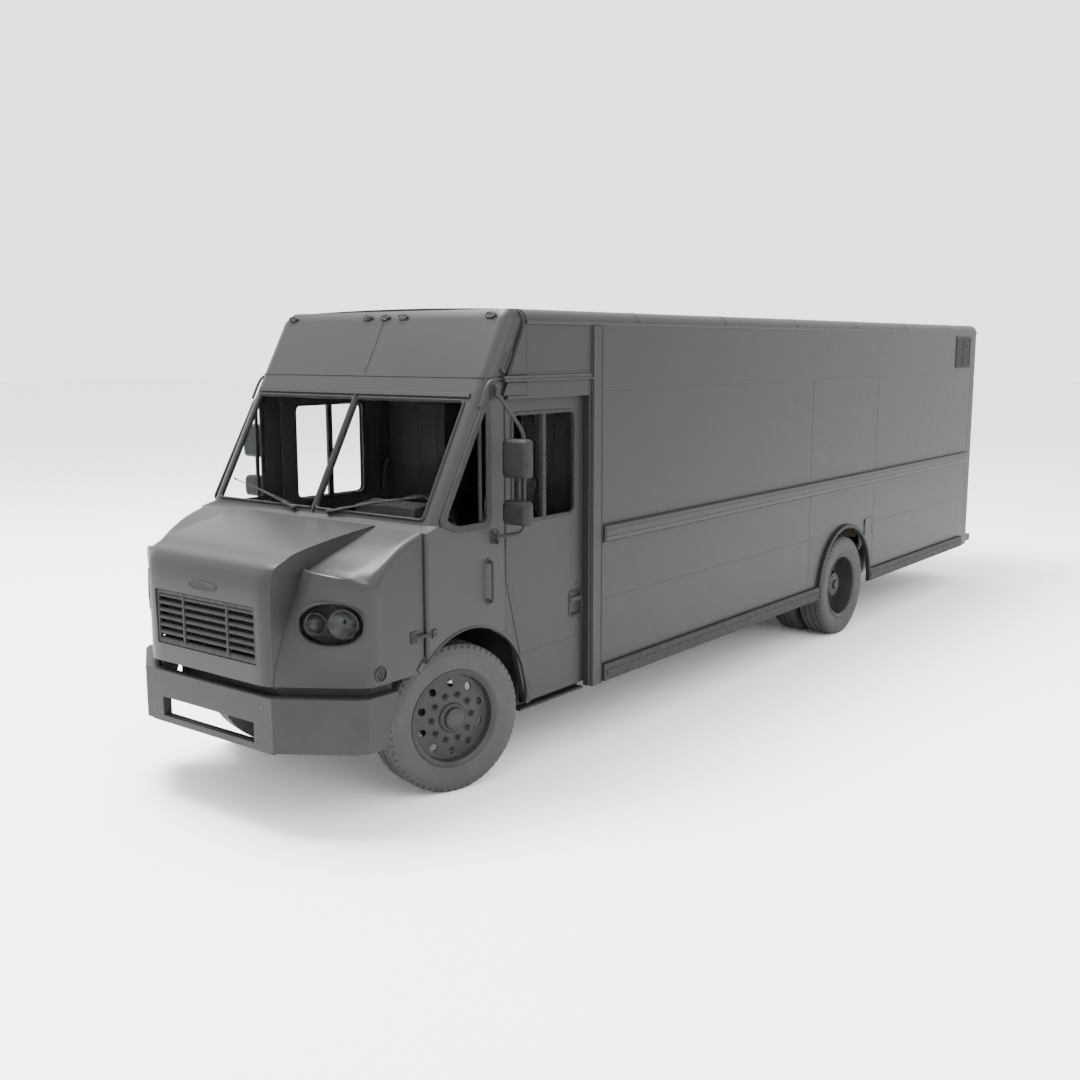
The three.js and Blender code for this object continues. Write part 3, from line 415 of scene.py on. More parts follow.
def turned(profile, centre, axis="X", steps=48, closed=False):
    """Points (radius, height) turned about an axis through centre."""
    bm = bmesh.new()
    turns = {"X": Matrix.Rotation(math.pi / 2, 4, "Y"), "Y": Matrix.Rotation(-math.pi / 2, 4, "X")}
    columns = []
    for i in range(steps):
        angle = 2 * math.pi * i / steps
        columns.append([bm.verts.new((r * math.cos(angle), r * math.sin(angle), h)) for r, h in profile])
    for i in range(steps):
        a, b = columns[i], columns[(i + 1) % steps]
        pairs = list(zip(range(len(profile)), range(1, len(profile))))
        if closed:
            pairs.append((len(profile) - 1, 0))
        for j, k in pairs:
            bm.faces.new((a[j], b[j], b[k], a[k]))
    if not closed:
        for k in (0, -1):
            if profile[k][0] > 1e-5:
                bm.faces.new([column[k] for column in columns])
    bmesh.ops.remove_doubles(bm, verts=bm.verts, dist=1e-6)
    if axis in turns:
        bmesh.ops.transform(bm, matrix=turns[axis], verts=bm.verts)
    bmesh.ops.translate(bm, vec=centre, verts=bm.verts)
    return mesh_of(bm)


def pin(start, end, radius, steps=16, bevel=0.001):
    """A round bar with eased ends between two points."""
    start, end = Vector(start), Vector(end)
    length = (end - start).length
    bevel = min(bevel, radius * 0.4, length * 0.3)
    profile = [
        (0, 0), (radius - bevel, 0), (radius, bevel), (radius, length - bevel), (radius - bevel, length),
        (0, length)
    ]
    mesh = turned(profile, (0, 0, 0), "Z", steps)
    aim = (end - start).to_track_quat("Z", "Y").to_matrix().to_4x4()
    mesh.transform(Matrix.Translation(start) @ aim)
    return mesh


def evaluated(obj):
    """The finished mesh of a scratch object, which is then removed."""
    graph = bpy.context.evaluated_depsgraph_get()
    mesh = bpy.data.meshes.new_from_object(obj.evaluated_get(graph))
    data = obj.data
    bpy.data.objects.remove(obj)
    if isinstance(data, bpy.types.Mesh):
        bpy.data.meshes.remove(data)
    return mesh


def scratch(data):
    obj = bpy.data.objects.new("scratch", data)
    bpy.context.scene.collection.objects.link(obj)
    return obj


def tube(points, radius, smooth=True, resolution=4, cyclic=False):
    """A bar of round section along points, rounded at its bends."""
    curve = bpy.data.curves.new("path", "CURVE")
    curve.dimensions = "3D"
    spline = curve.splines.new("NURBS" if smooth else "POLY")
    spline.points.add(len(points) - 1)
    for target, point in zip(spline.points, points):
        target.co = (*point, 1)
    spline.use_cyclic_u = cyclic
    if smooth:
        spline.order_u = 3
        spline.use_endpoint_u = not cyclic
        spline.resolution_u = 6
    curve.bevel_depth = radius
    curve.bevel_resolution = resolution
    curve.use_fill_caps = True
    return evaluated(scratch(curve))


PLANES = {
    "X": Matrix(((0, 0, 1, 0), (1, 0, 0, 0), (0, 1, 0, 0), (0, 0, 0, 1))),
    "Y": Matrix(((1, 0, 0, 0), (0, 0, -1, 0), (0, 1, 0, 0), (0, 0, 0, 1))),
    "Z": Matrix.Identity(4),
}


def sheet(outlines, plane, span, bevel=0.002, bevel_steps=1):
    """A flat plate of the given outlines, holes included, with eased edges, between two planes."""
    curve = bpy.data.curves.new("outline", "CURVE")
    curve.dimensions = "2D"
    curve.fill_mode = "BOTH"
    for outline in outlines:
        spline = curve.splines.new("POLY")
        spline.points.add(len(outline) - 1)
        for target, (a, b) in zip(spline.points, outline):
            target.co = (a, b, 0, 1)
        spline.use_cyclic_u = True
    depth = span[1] - span[0]
    bevel = min(bevel, depth * 0.45)
    curve.extrude = depth / 2 - bevel
    curve.bevel_depth = bevel
    curve.bevel_resolution = bevel_steps
    curve.offset = -bevel
    mesh = evaluated(scratch(curve))
    middle = (span[0] + span[1]) / 2
    shift = {"X": (middle, 0, 0), "Y": (0, middle, 0), "Z": (0, 0, middle)}[plane]
    mesh.transform(Matrix.Translation(shift) @ PLANES[plane])
    bm = bmesh.new()
    bm.from_mesh(mesh)
    bmesh.ops.remove_doubles(bm, verts=bm.verts, dist=1e-5)
    bpy.data.meshes.remove(mesh)
    return mesh_of(bm)


def carved(mesh, cutters, operation="DIFFERENCE"):
    """The mesh with each cutter taken away by an exact boolean."""
    base = scratch(mesh)
    tools = [scratch(cutter) for cutter in cutters]
    for tool in tools:
        modifier = base.modifiers.new("cut", "BOOLEAN")
        modifier.operation = operation
        modifier.object = tool
        modifier.solver = "EXACT"
    made = evaluated(base)
    for tool in tools:
        data = tool.data
        bpy.data.objects.remove(tool)
        bpy.data.meshes.remove(data)
    return made


def modified(mesh, *modifiers):
    """The mesh with modifiers (type, settings) applied in order."""
    base = scratch(mesh)
    for kind, settings in modifiers:
        modifier = base.modifiers.new(kind, kind)
        for key, value in settings.items():
            setattr(modifier, key, value)
    return evaluated(base)


def eased(mesh, width=0.003, segments=2, angle=30):
    settings = {"width": width, "segments": segments, "limit_method": "ANGLE"}
    settings["angle_limit"] = math.radians(angle)
    return modified(mesh, ("BEVEL", settings))


def cad_copy(node):
    """A node's own shape as clean flat faces, ready for easing and detail."""
    bm = bmesh.new()
    bm.from_mesh(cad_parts[node].data)
    bmesh.ops.remove_doubles(bm, verts=bm.verts, dist=1e-5)
    bmesh.ops.dissolve_limit(bm, angle_limit=math.radians(0.5), verts=bm.verts, edges=bm.edges)
    return mesh_of(bm)


def arc(cx, cy, r, start, end, steps):
    angles = [math.radians(start + (end - start) * i / steps) for i in range(steps + 1)]
    return [(cx + r * math.cos(a), cy + r * math.sin(a)) for a in angles]


def rounded(a, b, r, steps=6):
    """A rectangle with round corners; a and b are (low, high) on its two axes."""
    return [
        *arc(a[1] - r, b[0] + r, r, -90, 0, steps),
        *arc(a[1] - r, b[1] - r, r, 0, 90, steps),
        *arc(a[0] + r, b[1] - r, r, 90, 180, steps),
        *arc(a[0] + r, b[0] + r, r, 180, 270, steps),
    ]


def softened(points, r, steps=5):
    """An outline with each corner rounded to about radius r."""
    made = []
    count = len(points)
    for i, point in enumerate(points):
        here = Vector(point)
        back = Vector(points[i - 1]) - here
        ahead = Vector(points[(i + 1) % count]) - here
        reach = min(r, 0.45 * back.length, 0.45 * ahead.length)
        start = here + back.normalized() * reach
        end = here + ahead.normalized() * reach
        for k in range(steps + 1):
            t = k / steps
            made.append(tuple(start * (1 - t) ** 2 + here * (2 * t * (1 - t)) + end * t ** 2))
    return made


def bolt(place, axis, radius=0.009, height=0.007):
    """A hexagon head standing out along axis."""
    mesh = turned(
        [(0, 0), (radius, 0), (radius, height * 0.8), (radius * 0.82, height), (0, height)], (0, 0, 0), "Z",
        6
    )
    aim = Vector(axis).to_track_quat("Z", "Y").to_matrix().to_4x4()
    mesh.transform(Matrix.Translation(place) @ aim)
    return mesh


def dome(place, axis, radius, height, steps=16):
    rise = [
        (radius * math.cos(math.radians(a)), height * math.sin(math.radians(a))) for a in range(0, 91, 15)
    ]
    mesh = turned([(0, -0.002), (radius, -0.002), *rise[:-1], (0, height)], (0, 0, 0), "Z", steps)
    aim = Vector(axis).to_track_quat("Z", "Y").to_matrix().to_4x4()
    mesh.transform(Matrix.Translation(place) @ aim)
    return mesh


# ------------------------------------------------------------------ driving sizes, from the frame
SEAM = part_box("hood")[1][1]  # plane where the hood meets the cab
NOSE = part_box("hood")[0][1]
HOOD_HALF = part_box("hood")[1][0]
HOOD_FOOT = 0.85
BODY_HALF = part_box("side_panel_left")[1][0]
BODY_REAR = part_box("rear_frame")[1][1]
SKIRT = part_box("side_panel_left")[0][2]
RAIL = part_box("side_panel_left")[1][2]
ROOF_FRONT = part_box("roof")[0][1]
CAB_HALF = 1.030
CAB_SLOPE = 0.56
ROOF_EDGE = 2.93
CAP_FRONT = -3.504
WINDOW_FOOT = 1.688
WINDOW_HEAD = 2.386
FRONT_ARCH = (-3.910, 0.500, 0.540)
REAR_AXLE = 1.416
REAR_ARCH = (REAR_AXLE, 0.4645, 0.550)
SLOPE_NORMAL = Vector((0, -1, CAB_SLOPE)).normalized()


def front_y(z):
    """The sloped front of the cab at height z."""
    return CAP_FRONT - (ROOF_EDGE - z) * CAB_SLOPE


def lerp(a, b, t):
    return a + (b - a) * t


def spline(points, steps):
    """A smooth curve through the points, with steps samples between each two."""
    made = []
    last = len(points) - 1
    for i in range(last):
        around = (points[max(i - 1, 0)], points[i], points[i + 1], points[min(i + 2, last)])
        for k in range(steps):
            t = k / steps
            made.append(
                tuple(
                    0.5 * (2 * b + (c - a) * t + (2 * a - 5 * b + 4 * c - d) * t**2)
                    + 0.5 * (3 * b - a - 3 * c + d) * t**3
                    for a, b, c, d in zip(*around)
                )
            )
    made.append(tuple(points[-1]))
    return made


# ------------------------------------------------------------------ hood
NOSE_SWEEP = 333 / 485
LAMP_TURN = math.atan(NOSE_SWEEP)
LAMP_CENTRE = Vector((0.832, -4.821, 1.207))
LAMP_HALF = (0.182, 0.120)
LAMP_FRAME = Matrix.Translation(LAMP_CENTRE) @ Matrix.Rotation(LAMP_TURN, 4, "Z")


def groove_x(y):
    return 0.560 + (y - NOSE) / (SEAM - NOSE) * 0.070


def hood_row(bonnet, t, inset, half):
    plan = t * 0.560 if bonnet else lerp(0.568, half, t)
    lip = NOSE + inset + max(0, plan - 0.520) * NOSE_SWEEP
    if bonnet:
        top = [(lip + 0.008, 1.449), (-4.904, 1.546), (-4.790, 1.588), (-4.560, 1.632), (SEAM, 1.672)]
    else:
        top = [
            (lerp(-4.822, lip + 0.004, t), lerp(1.447, 1.390, t**3)),
            (lerp(-4.760, lip + 0.045, t), lerp(1.478, 1.440, t**3)),
            (lerp(-4.640, -4.584, t), lerp(1.532, 1.515, t)),
            (lerp(-4.470, -4.440, t), lerp(1.592, 1.605, t)),
            (SEAM, 1.664),
        ]
    shifted = [(y + inset * 0.6, z - inset * 0.6) for y, z in top]
    shifted[-1] = (SEAM, shifted[-1][1])
    foot = 0 if bonnet else 0.020
    return spline([(lip, HOOD_FOOT), (lip + foot, 1.012), *shifted], 4)


def hood_ring(bonnet, t, inset=0.0, narrow=0.0):
    half = HOOD_HALF - narrow
    row = hood_row(bonnet, t, inset, half)
    ring = []
    for y, z in row:
        edge = groove_x(y)
        x = t * (edge - 0.005) if bonnet else lerp(edge + 0.005, half, t)
        ring.append((x, y, z))
    return ring


def hood_mesh():
    corner = 0.045
    rings = [hood_ring(True, t) for t in (0, 0.15, 0.3, 0.45, 0.6, 0.75, 0.87, 0.95, 0.985, 1)]
    for bonnet, t in ((True, 1), (False, 0)):
        rings.append([(x, y + 0.006, z - 0.010) for x, y, z in hood_ring(bonnet, t)])
    rings += [hood_ring(False, t) for t in (0, 0.02, 0.08, 0.18, 0.3, 0.42, 0.55, 0.68, 0.8)]
    for degrees in range(0, 91, 15):
        a = math.radians(degrees)
        rings.append(hood_ring(False, 1, corner * (1 - math.cos(a)), corner * (1 - math.sin(a))))
    bm = bmesh.new()
    for side in (1, -1):
        rows = [[bm.verts.new((side * x, y, z)) for x, y, z in ring] for ring in rings]
        for low, high in zip(rows, rows[1:]):
            for i in range(len(low) - 1):
                bm.faces.new((low[i], low[i + 1], high[i + 1], high[i]))
        foot = bm.verts.new((side * HOOD_HALF, SEAM, HOOD_FOOT))
        bm.faces.new([*rows[-1], foot])
    bmesh.ops.remove_doubles(bm, verts=bm.verts, dist=1e-5)
    shell = modified(mesh_of(bm), ("SOLIDIFY", {"thickness": 0.014, "offset": -1}))
    grille_hole = block((-0.458, 0.458), (NOSE - 0.03, NOSE + 0.06), (0.960, 1.290), 0.012)
    cutters = [grille_hole]
    y, z, r = FRONT_ARCH
    for _, side in SIDES:
        lamp = superellipse_slab(0.0, (-0.12, 0.12))
        arch = turned([(0, 0.64), (r, 0.64), (r, 1.2), (0, 1.2)], (0, y, z), "X", 96)
        cutters += [sided(lamp, side), sided(arch, side)]
    return carved(shell, cutters)


def lamp_outline(grow, steps=56, power=2.3):
    made = []
    for i in range(steps):
        a = 2 * math.pi * i / steps
        c, s = math.cos(a), math.sin(a)
        x = (LAMP_HALF[0] + grow) * math.copysign(abs(c) ** (2 / power), c)
        z = (LAMP_HALF[1] + grow) * math.copysign(abs(s) ** (2 / power), s)
        made.append((x, z))
    return made


def superellipse_slab(grow, depth):
    """The headlight outline as a slab; depth runs outward, square to the lamp face."""
    rings = [[(x, -d, z) for x, z in lamp_outline(grow)] for d in depth]
    mesh = loft(rings)
    mesh.transform(LAMP_FRAME)
    return mesh


def headlight(name, side):
    shells = []
    for depth, grow in ((-0.060, -0.03), (-0.045, -0.008), (-0.004, -0.006), (-0.004, -0.002)):
        shells.append([(x, -depth, z) for x, z in lamp_outline(grow)])
    shells.append([(x, 0.058, z) for x, z in lamp_outline(-0.002)])
    shells.append([(x, 0.066, z) for x, z in lamp_outline(-0.03)])
    bucket = loft(shells[:3], caps=False)
    backing = loft([shells[0], [(x, 0.064, z) for x, z in lamp_outline(-0.035)]])
    housing = merged([modified(bucket, ("SOLIDIFY", {"thickness": 0.0025, "offset": 0})), backing])
    housing.transform(LAMP_FRAME)
    put(f"headlight_bucket_{name}", sided(housing, side), "hood", "cab_plastic", [f"headlight_{name}"])
    rings = []
    for grow, lift in ((-0.003, 0.002), (-0.004, 0.007), (-0.02, 0.011), (-0.06, 0.014), (-0.10, 0.0155)):
        rings.append([(x, -lift, z) for x, z in lamp_outline(grow)])
    lens = merged([loft([[(x, -0.0005, z) for x, z in lamp_outline(-0.003)], *rings])])
    lens.transform(LAMP_FRAME)
    put(f"headlight_lens_{name}", sided(lens, side), "hood", "lamp_lens")
    trim = []
    for grow, lift in ((0.0, -0.004), (0.007, 0.004), (0.004, 0.010), (-0.003, 0.010), (-0.005, 0.0)):
        trim.append([(x, -lift, z) for x, z in lamp_outline(grow)])
    bezel = loft([*trim, trim[0]], caps=False)
    bezel.transform(LAMP_FRAME)
    put(f"headlight_bezel_{name}", sided(bezel, side), "hood", "dark_trim")
    bowls, bulbs = [], []
    for x, r in ((-0.090, 0.060), (0.064, 0.080)):
        curve = [(r * k / 10, -0.052 + 0.046 * (k / 10) ** 2) for k in range(1, 11)]
        inner = [(radius - 0.002, h - 0.002) for radius, h in reversed(curve)]
        bowl = turned([*curve, (r + 0.004, -0.005), *inner], (0, 0, 0), "Z", 40, True)
        bowl.transform(LAMP_FRAME @ Matrix.Translation((x, 0, 0)) @ Matrix.Rotation(math.pi / 2, 4, "X"))
        bowls.append(sided(bowl, side))
        bulb = merged([
            dome((0, 0, -0.052), (0, 0, 1), 0.011, 0.030), dome((0, 0, -0.056), (0, 0, 1), 0.02, 0.012)
        ])
        bulb.transform(LAMP_FRAME @ Matrix.Translation((x, 0, 0)) @ Matrix.Rotation(math.pi / 2, 4, "X"))
        bulbs.append(sided(bulb, side))
    put(f"headlight_reflectors_{name}", merged(bowls), "hood", "reflector")
    put(f"headlight_bulbs_{name}", merged(bulbs), "hood", "lamp_lens")


def grille():
    rim = sheet(
        [rounded((-0.456, 0.456), (0.962, 1.288), 0.016), rounded((-0.434, 0.434), (0.984, 1.266), 0.010)],
        "Y",
        (NOSE + 0.004, NOSE + 0.026),
        0.004,
        2,
    )
    slats = []
    for i in range(7):
        z = 1.258 - i * 0.0450
        section = [
            (0.005, -0.014), (0.005, 0.000), (0.012, 0.008), (0.028, 0.012), (0.030, 0.006), (0.013, -0.006)
        ]
        section = softened(section, 0.003, 2)
        rings = [[(x, NOSE + a, z + b) for a, b in section] for x in (-0.437, 0.437)]
        slats.append(loft(rings))
    uprights = [
        block((x - 0.010, x + 0.010), (NOSE + 0.002, NOSE + 0.028), (0.972, 1.278), 0.004)
        for x in (-0.2, 0.2)
    ]
    put("grille_piece", merged([rim, *slats, *uprights]), "hood", "dark_trim", ["grille"])
    core = [block((-0.462, 0.462), (NOSE + 0.052, NOSE + 0.060), (0.958, 1.290), 0)]
    for i in range(44):
        x = -0.42 + i * 0.0195
        core.append(block((x - 0.002, x + 0.002), (NOSE + 0.044, NOSE + 0.053), (0.98, 1.27), 0))
    put("grille_screen", merged(core), "hood", "cab_plastic")


def hood():
    put("hood_shell", hood_mesh(), "hood", "moulded_paint", ["hood"], 34, False)
    y, z, r = FRONT_ARCH
    for name, side in SIDES:
        ends = [math.degrees(math.acos((SEAM + 0.002 - y) / r)), math.degrees(math.acos((-4.425 - y) / r))]
        outer = arc(y, z, r + 0.030, ends[0], 139, 24)
        inner = arc(y, z, r - 0.004, ends[0], 139, 24)
        lip = sheet([[*outer, *reversed(inner)]], "X", (HOOD_HALF - 0.004, HOOD_HALF + 0.009), 0.004, 2)
        put(f"hood_arch_lip_{name}", sided(lip, side), "hood", "moulded_paint")
        liner = [
            (math.cos(math.radians(a)), math.sin(math.radians(a))) for a in range(int(ends[0]) + 2, 141, 4)
        ]
        rings = []
        for x in (0.55, 0.992):
            out = [(x, y + (r + 0.010) * c, z + (r + 0.010) * s) for c, s in liner]
            back = [(x, y + (r + 0.006) * c, z + (r + 0.006) * s) for c, s in reversed(liner)]
            rings.append(out + back)
        put(f"hood_liner_{name}", sided(loft(rings), side), "hood", "cab_plastic")
        latch = [
            block((1.004, 1.014), (-4.385, -4.335), (1.035, 1.105), 0.004),
            tube(
                [(1.016, -4.36, 1.07), (1.024, -4.31, 1.07), (1.024, -4.25, 1.07), (1.018, -4.215, 1.07)],
                0.011
            ),
            block((1.004, 1.022), (-4.372, -4.348), (1.055, 1.085), 0.004),
        ]
        put(f"hood_latch_{name}", sided(merged(latch), side), "hood", "seal_rubber")
        keeper = [
            block((1.0305, 1.042), (-4.235, -4.195), (1.045, 1.095), 0.004),
            bolt((1.042, -4.214, 1.07), (1, 0, 0))
        ]
        put(f"hood_keeper_{name}", sided(merged(keeper), side), "chassis", "chassis_steel")
        marker = [
            turned(
                [(0, 0), (0.044, 0), (0.044, 0.006), (0.036, 0.010), (0.036, 0.003), (0, 0.003)],
                (HOOD_HALF, -4.626, 0.914), "X", 40
            ),
        ]
        put(f"side_marker_rim_{name}", sided(merged(marker), side), "hood", "dark_trim")
        lens = dome((HOOD_HALF + 0.003, -4.626, 0.914), (1, 0, 0), 0.035, 0.012, 40)
        put(f"side_marker_lens_{name}", sided(lens, side), "hood", "lamp_lens")
    rings = []
    for grow, lift in ((0.0, -0.006), (0.0, 0.004), (-0.004, 0.007), (-0.012, 0.005), (-0.02, 0.006)):
        rings.append([
            ((0.13 + grow) * c, NOSE - lift, 1.356 + (0.03 + grow) * s) for c, s in unit_ring(40)
        ])
    put("hood_badge_blank", loft(rings), "hood", "dark_trim")
    stations = [hood_ring(True, t) for t in (0, 0.5, 1)] + [hood_ring(False, t) for t in (0.1, 0.5, 0.95)]
    left = [(ring[-1][0], SEAM - 0.001, ring[-1][2] - 0.012) for ring in stations]
    seal = tube([*[(-x, y, z) for x, y, z in reversed(left)], *left[1:]], 0.006)
    put("hood_seam_seal", seal, "chassis", "seal_rubber")
    hinges = []
    for x in (-0.30, 0.30):
        hinges += [
            block((x - 0.02, x + 0.02), (-5.013, -4.962), (0.847, 0.9), 0.004),
            pin((x - 0.032, -5.004, 0.862), (x + 0.032, -5.004, 0.862), 0.011)
        ]
    put("hood_hinges", merged(hinges), "hood", "chassis_steel")


def unit_ring(steps):
    return [(math.cos(2 * math.pi * i / steps), math.sin(2 * math.pi * i / steps)) for i in range(steps)]


# ------------------------------------------------------------------ bumpers
def bumpers():
    bar = eased(cad_copy("front_bumper"), 0.008, 3)
    put("front_bumper_piece", bar, "chassis", "bumper_steel", ["front_bumper"])
    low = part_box("front_bumper")[0]
    extras = []
    for x in (-0.5, 0.5):
        for z in (0.54, 0.735):
            extras.append(dome((x, low[1], z), (0, -1, 0), 0.014, 0.002))
    for x in (0.20, 0.47):
        extras.append(bolt((x, low[1], 0.745), (0, -1, 0), 0.007, 0.002))
    put("front_bumper_bolts", merged(extras), "chassis", "chassis_steel")
    lower = [
        loft([
            [
                (x, low[1] + 0.02 + b, 0.487 + a) for a,
                b in ((-0.022, 0.0), (0.0, -0.006), (0.0, 0.04), (-0.022, 0.04))
            ]
            for x in (-0.56, 0.56)
        ]),
    ]
    put("front_bumper_lower_bar", merged(lower), "chassis", "dark_trim")
    plan = [(0.0, -4.965), (0.560, -4.965), (0.900, -4.730), (0.955, -4.66), (0.960, -4.50)]
    plan += [(-x, y) for x, y in reversed(plan[1:])]
    inner = [(x * 0.985, y + 0.012) for x, y in plan]
    valance = loft([[(x, y, z) for x, y in [*plan, *reversed(inner)]] for z in (0.70, 0.846)])
    put("front_valance", valance, "chassis", "cab_plastic")
    rear = eased(cad_copy("rear_bumper"), 0.005, 2)
    put("rear_bumper_piece", rear, "chassis", "bumper_steel", ["rear_bumper"])
    studs = []
    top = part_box("rear_bumper")[1][2]
    for i in range(51):
        for k in range(4):
            x = -1.0 + i * 0.04 + (0.02 if k % 2 else 0)
            if x < 1.01:
                studs.append((x, 4.88 + k * 0.045, top))
    put("rear_step_studs", stamped(studs, 0.006, 0.0035), "chassis", "floor_plate")
    pads = []
    for x in (-0.7, 0.7):
        pads.append(block((x - 0.09, x + 0.09), (5.044, 5.051), (0.43, 0.50), 0.005))
    put("rear_bumper_pads", merged(pads), "chassis", "seal_rubber")


def stamped(places, radius, height, steps=8):
    """Small raised studs at each place, pointing up, as one mesh."""
    bm = bmesh.new()
    for place in places:
        rings = []
        for r, h in ((radius, -0.0005), (radius * 0.8, height * 0.7), (radius * 0.4, height)):
            ring = [
                bm.verts.new((place[0] + r * c, place[1] + r * s, place[2] + h)) for c,
                s in unit_ring(steps)
            ]
            rings.append(ring)
        for low, high in zip(rings, rings[1:]):
            for i in range(steps):
                j = (i + 1) % steps
                bm.faces.new((low[i], low[j], high[j], high[i]))
        bm.faces.new(rings[-1])
        bm.faces.new(rings[0])
    return mesh_of(bm)


# ------------------------------------------------------------------ wheels
TYRE_R = 0.4645
TREAD_STEPS = 60


def tyre_mesh():
    """Sidewalls with rim guard and shoulder lugs, and four grooves round the tread."""
    crown = []
    for x, d in (
        (-0.100, 0.004), (-0.088, 0.001), (-0.060, 0), (-0.058, 0.010), (-0.050, 0.010), (-0.048, 0),
        (-0.012, 0), (-0.010, 0.010)
    ):
        crown.append((TYRE_R - d, x, "crown" if d < 0.009 else "groove"))
    crown += [(r, -x, kind) for r, x, kind in reversed(crown)]
    wall = [
        (0.288, -0.094, ""), (0.296, -0.106, ""), (0.308, -0.1125, ""), (0.318, -0.1175, ""),
        (0.324, -0.1180, ""),
        (0.330, -0.1160, ""), (0.345, -0.1190, ""), (0.362, -0.1215, ""), (0.380, -0.1235, ""),
        (0.396, -0.1235, ""), (0.400, -0.1250, ""),
        (0.406, -0.1250, ""), (0.410, -0.1230, ""), (0.426, -0.1205, ""), (0.438, -0.1165, ""),
        (0.446, -0.1135, "lug"),
        (0.456, -0.1080, "lug"), (0.4605, -0.1040, "lug"),
    ]
    other = [(r, -x, kind) for r, x, kind in reversed(wall)]
    inner = [
        (0.300, 0.080, ""), (0.350, 0.100, ""), (0.415, 0.095, ""), (0.432, 0.06, ""), (0.432, -0.06, ""),
        (0.415, -0.095, ""), (0.350, -0.100, ""), (0.300, -0.080, "")
    ]
    profile = [*wall, *crown, *other, *inner]
    bm = bmesh.new()
    columns = []
    for i in range(TREAD_STEPS):
        for share, notch in ((0.0, False), (0.66, False), (0.68, True), (0.98, True)):
            a = 2 * math.pi * (i + share) / TREAD_STEPS
            column = []
            for r, x, kind in profile:
                shrink = 0.008 if notch and kind == "lug" else 0
                offset = 0.002 if notch and kind == "lug" else 0
                reach = r - shrink
                column.append(bm.verts.new((
                    x - math.copysign(offset, x), reach * math.cos(a), reach * math.sin(a)
                )))
            columns.append(column)
    count = len(profile)
    for i, column in enumerate(columns):
        following = columns[(i + 1) % len(columns)]
        for j in range(count):
            k = (j + 1) % count
            bm.faces.new((column[j], column[k], following[k], following[j]))
    return mesh_of(bm)


def hand_holes(radius, hole, x, count=10):
    tools = []
    for i in range(count):
        a = 2 * math.pi * (i + 0.5) / count
        place = (0, radius * math.cos(a), radius * math.sin(a))
        tools.append(turned([(0, x[0]), (hole, x[0]), (hole, x[1]), (0, x[1])], place, "X", 24))
    return tools


def wheel_nuts(radius, x, count=10):
    parts = []
    for i in range(count):
        a = 2 * math.pi * i / count
        y, z = radius * math.cos(a), radius * math.sin(a)
        parts.append(turned(
            [(0.001, x - 0.002), (0.024, x - 0.002), (0.024, x + 0.003), (0.001, x + 0.003)], (0, y, z),
            "X", 20
        ))
        parts.append(turned(
            [(0.001, x), (0.0185, x), (0.0185, x + 0.020), (0.015, x + 0.024), (0.001, x + 0.024)],
            (0, y, z), "X", 6
        ))
        parts.append(turned(
            [(0.001, x), (0.011, x), (0.011, x + 0.036), (0.008, x + 0.038), (0.001, x + 0.038)], (0, y, z),
            "X", 14
        ))
    return parts


def front_rim_mesh():
    profile = [
        (0.2855, -0.094), (0.298, -0.106), (0.300, -0.111), (0.294, -0.113), (0.272, -0.104),
        (0.262, -0.06),
        (0.252, 0.010), (0.232, 0.046), (0.200, 0.058), (0.168, 0.064), (0.105, 0.066), (0.104, 0.050),
        (0.094, 0.050), (0.092, 0.079), (0.165, 0.077), (0.178, 0.073), (0.204, 0.067), (0.236, 0.058),
        (0.262, 0.060), (0.268, 0.070),
        (0.272, 0.104), (0.294, 0.1165), (0.302, 0.1150), (0.299, 0.108), (0.2855, 0.094), (0.275, 0.080),
        (0.268, 0.0), (0.275, -0.080),
    ]
    disc = turned(profile, (0, 0, 0), "X", 96, True)
    return carved(disc, hand_holes(0.214, 0.0235, (0.02, 0.12)))


def front_hub_mesh():
    cap = [
        (0.001, 0.03), (0.093, 0.03), (0.093, 0.086), (0.086, 0.094), (0.072, 0.098), (0.068, 0.104),
        (0.066, 0.120), (0.058, 0.127), (0.040, 0.131), (0.001, 0.133)
    ]
    return merged([turned(cap, (0, 0, 0), "X", 64), *wheel_nuts(0.1425, 0.077)])


def rear_rim_mesh():
    d = 0.146
    profile = [
        (0.2855, d - 0.094), (0.298, d - 0.108), (0.290, d - 0.111), (0.268, d - 0.100), (0.262, d - 0.080),
        (0.252, d - 0.060), (0.226, 0.062), (0.186, 0.030), (0.165, 0.0165), (0.105, 0.0165),
        (0.105, 0.003), (0.170, 0.003), (0.196, 0.014),
        (0.236, 0.048), (0.262, d - 0.050), (0.266, d), (0.270, d + 0.08), (0.272, d + 0.104),
        (0.292, d + 0.1165), (0.302, d + 0.1150),
        (0.299, d + 0.108), (0.2855, d + 0.094), (0.277, d + 0.070), (0.274, d),
    ]
    outer = turned(profile, (0, 0, 0), "X", 96, True)
    inner = turned([(r, -x) for r, x in reversed(profile)], (0, 0, 0), "X", 96, True)
    return merged([carved(outer, hand_holes(0.206, 0.0255, (-0.05, 0.1))), inner])


def rear_hub_mesh():
    hub = [
        (0.048, -0.06), (0.112, -0.06), (0.112, 0.03), (0.104, 0.09), (0.094, 0.160), (0.106, 0.164),
        (0.108, 0.180), (0.100, 0.184), (0.066, 0.187), (0.060, 0.190), (0.048, 0.190)
    ]
    parts = [turned(hub, (0, 0, 0), "X", 64, True), *wheel_nuts(0.1425, 0.017)]
    for i in range(8):
        a = 2 * math.pi * (i + 0.5) / 8
        parts.append(bolt((0.183, 0.083 * math.cos(a), 0.083 * math.sin(a)), (1, 0, 0), 0.010, 0.009))
    return merged(parts)


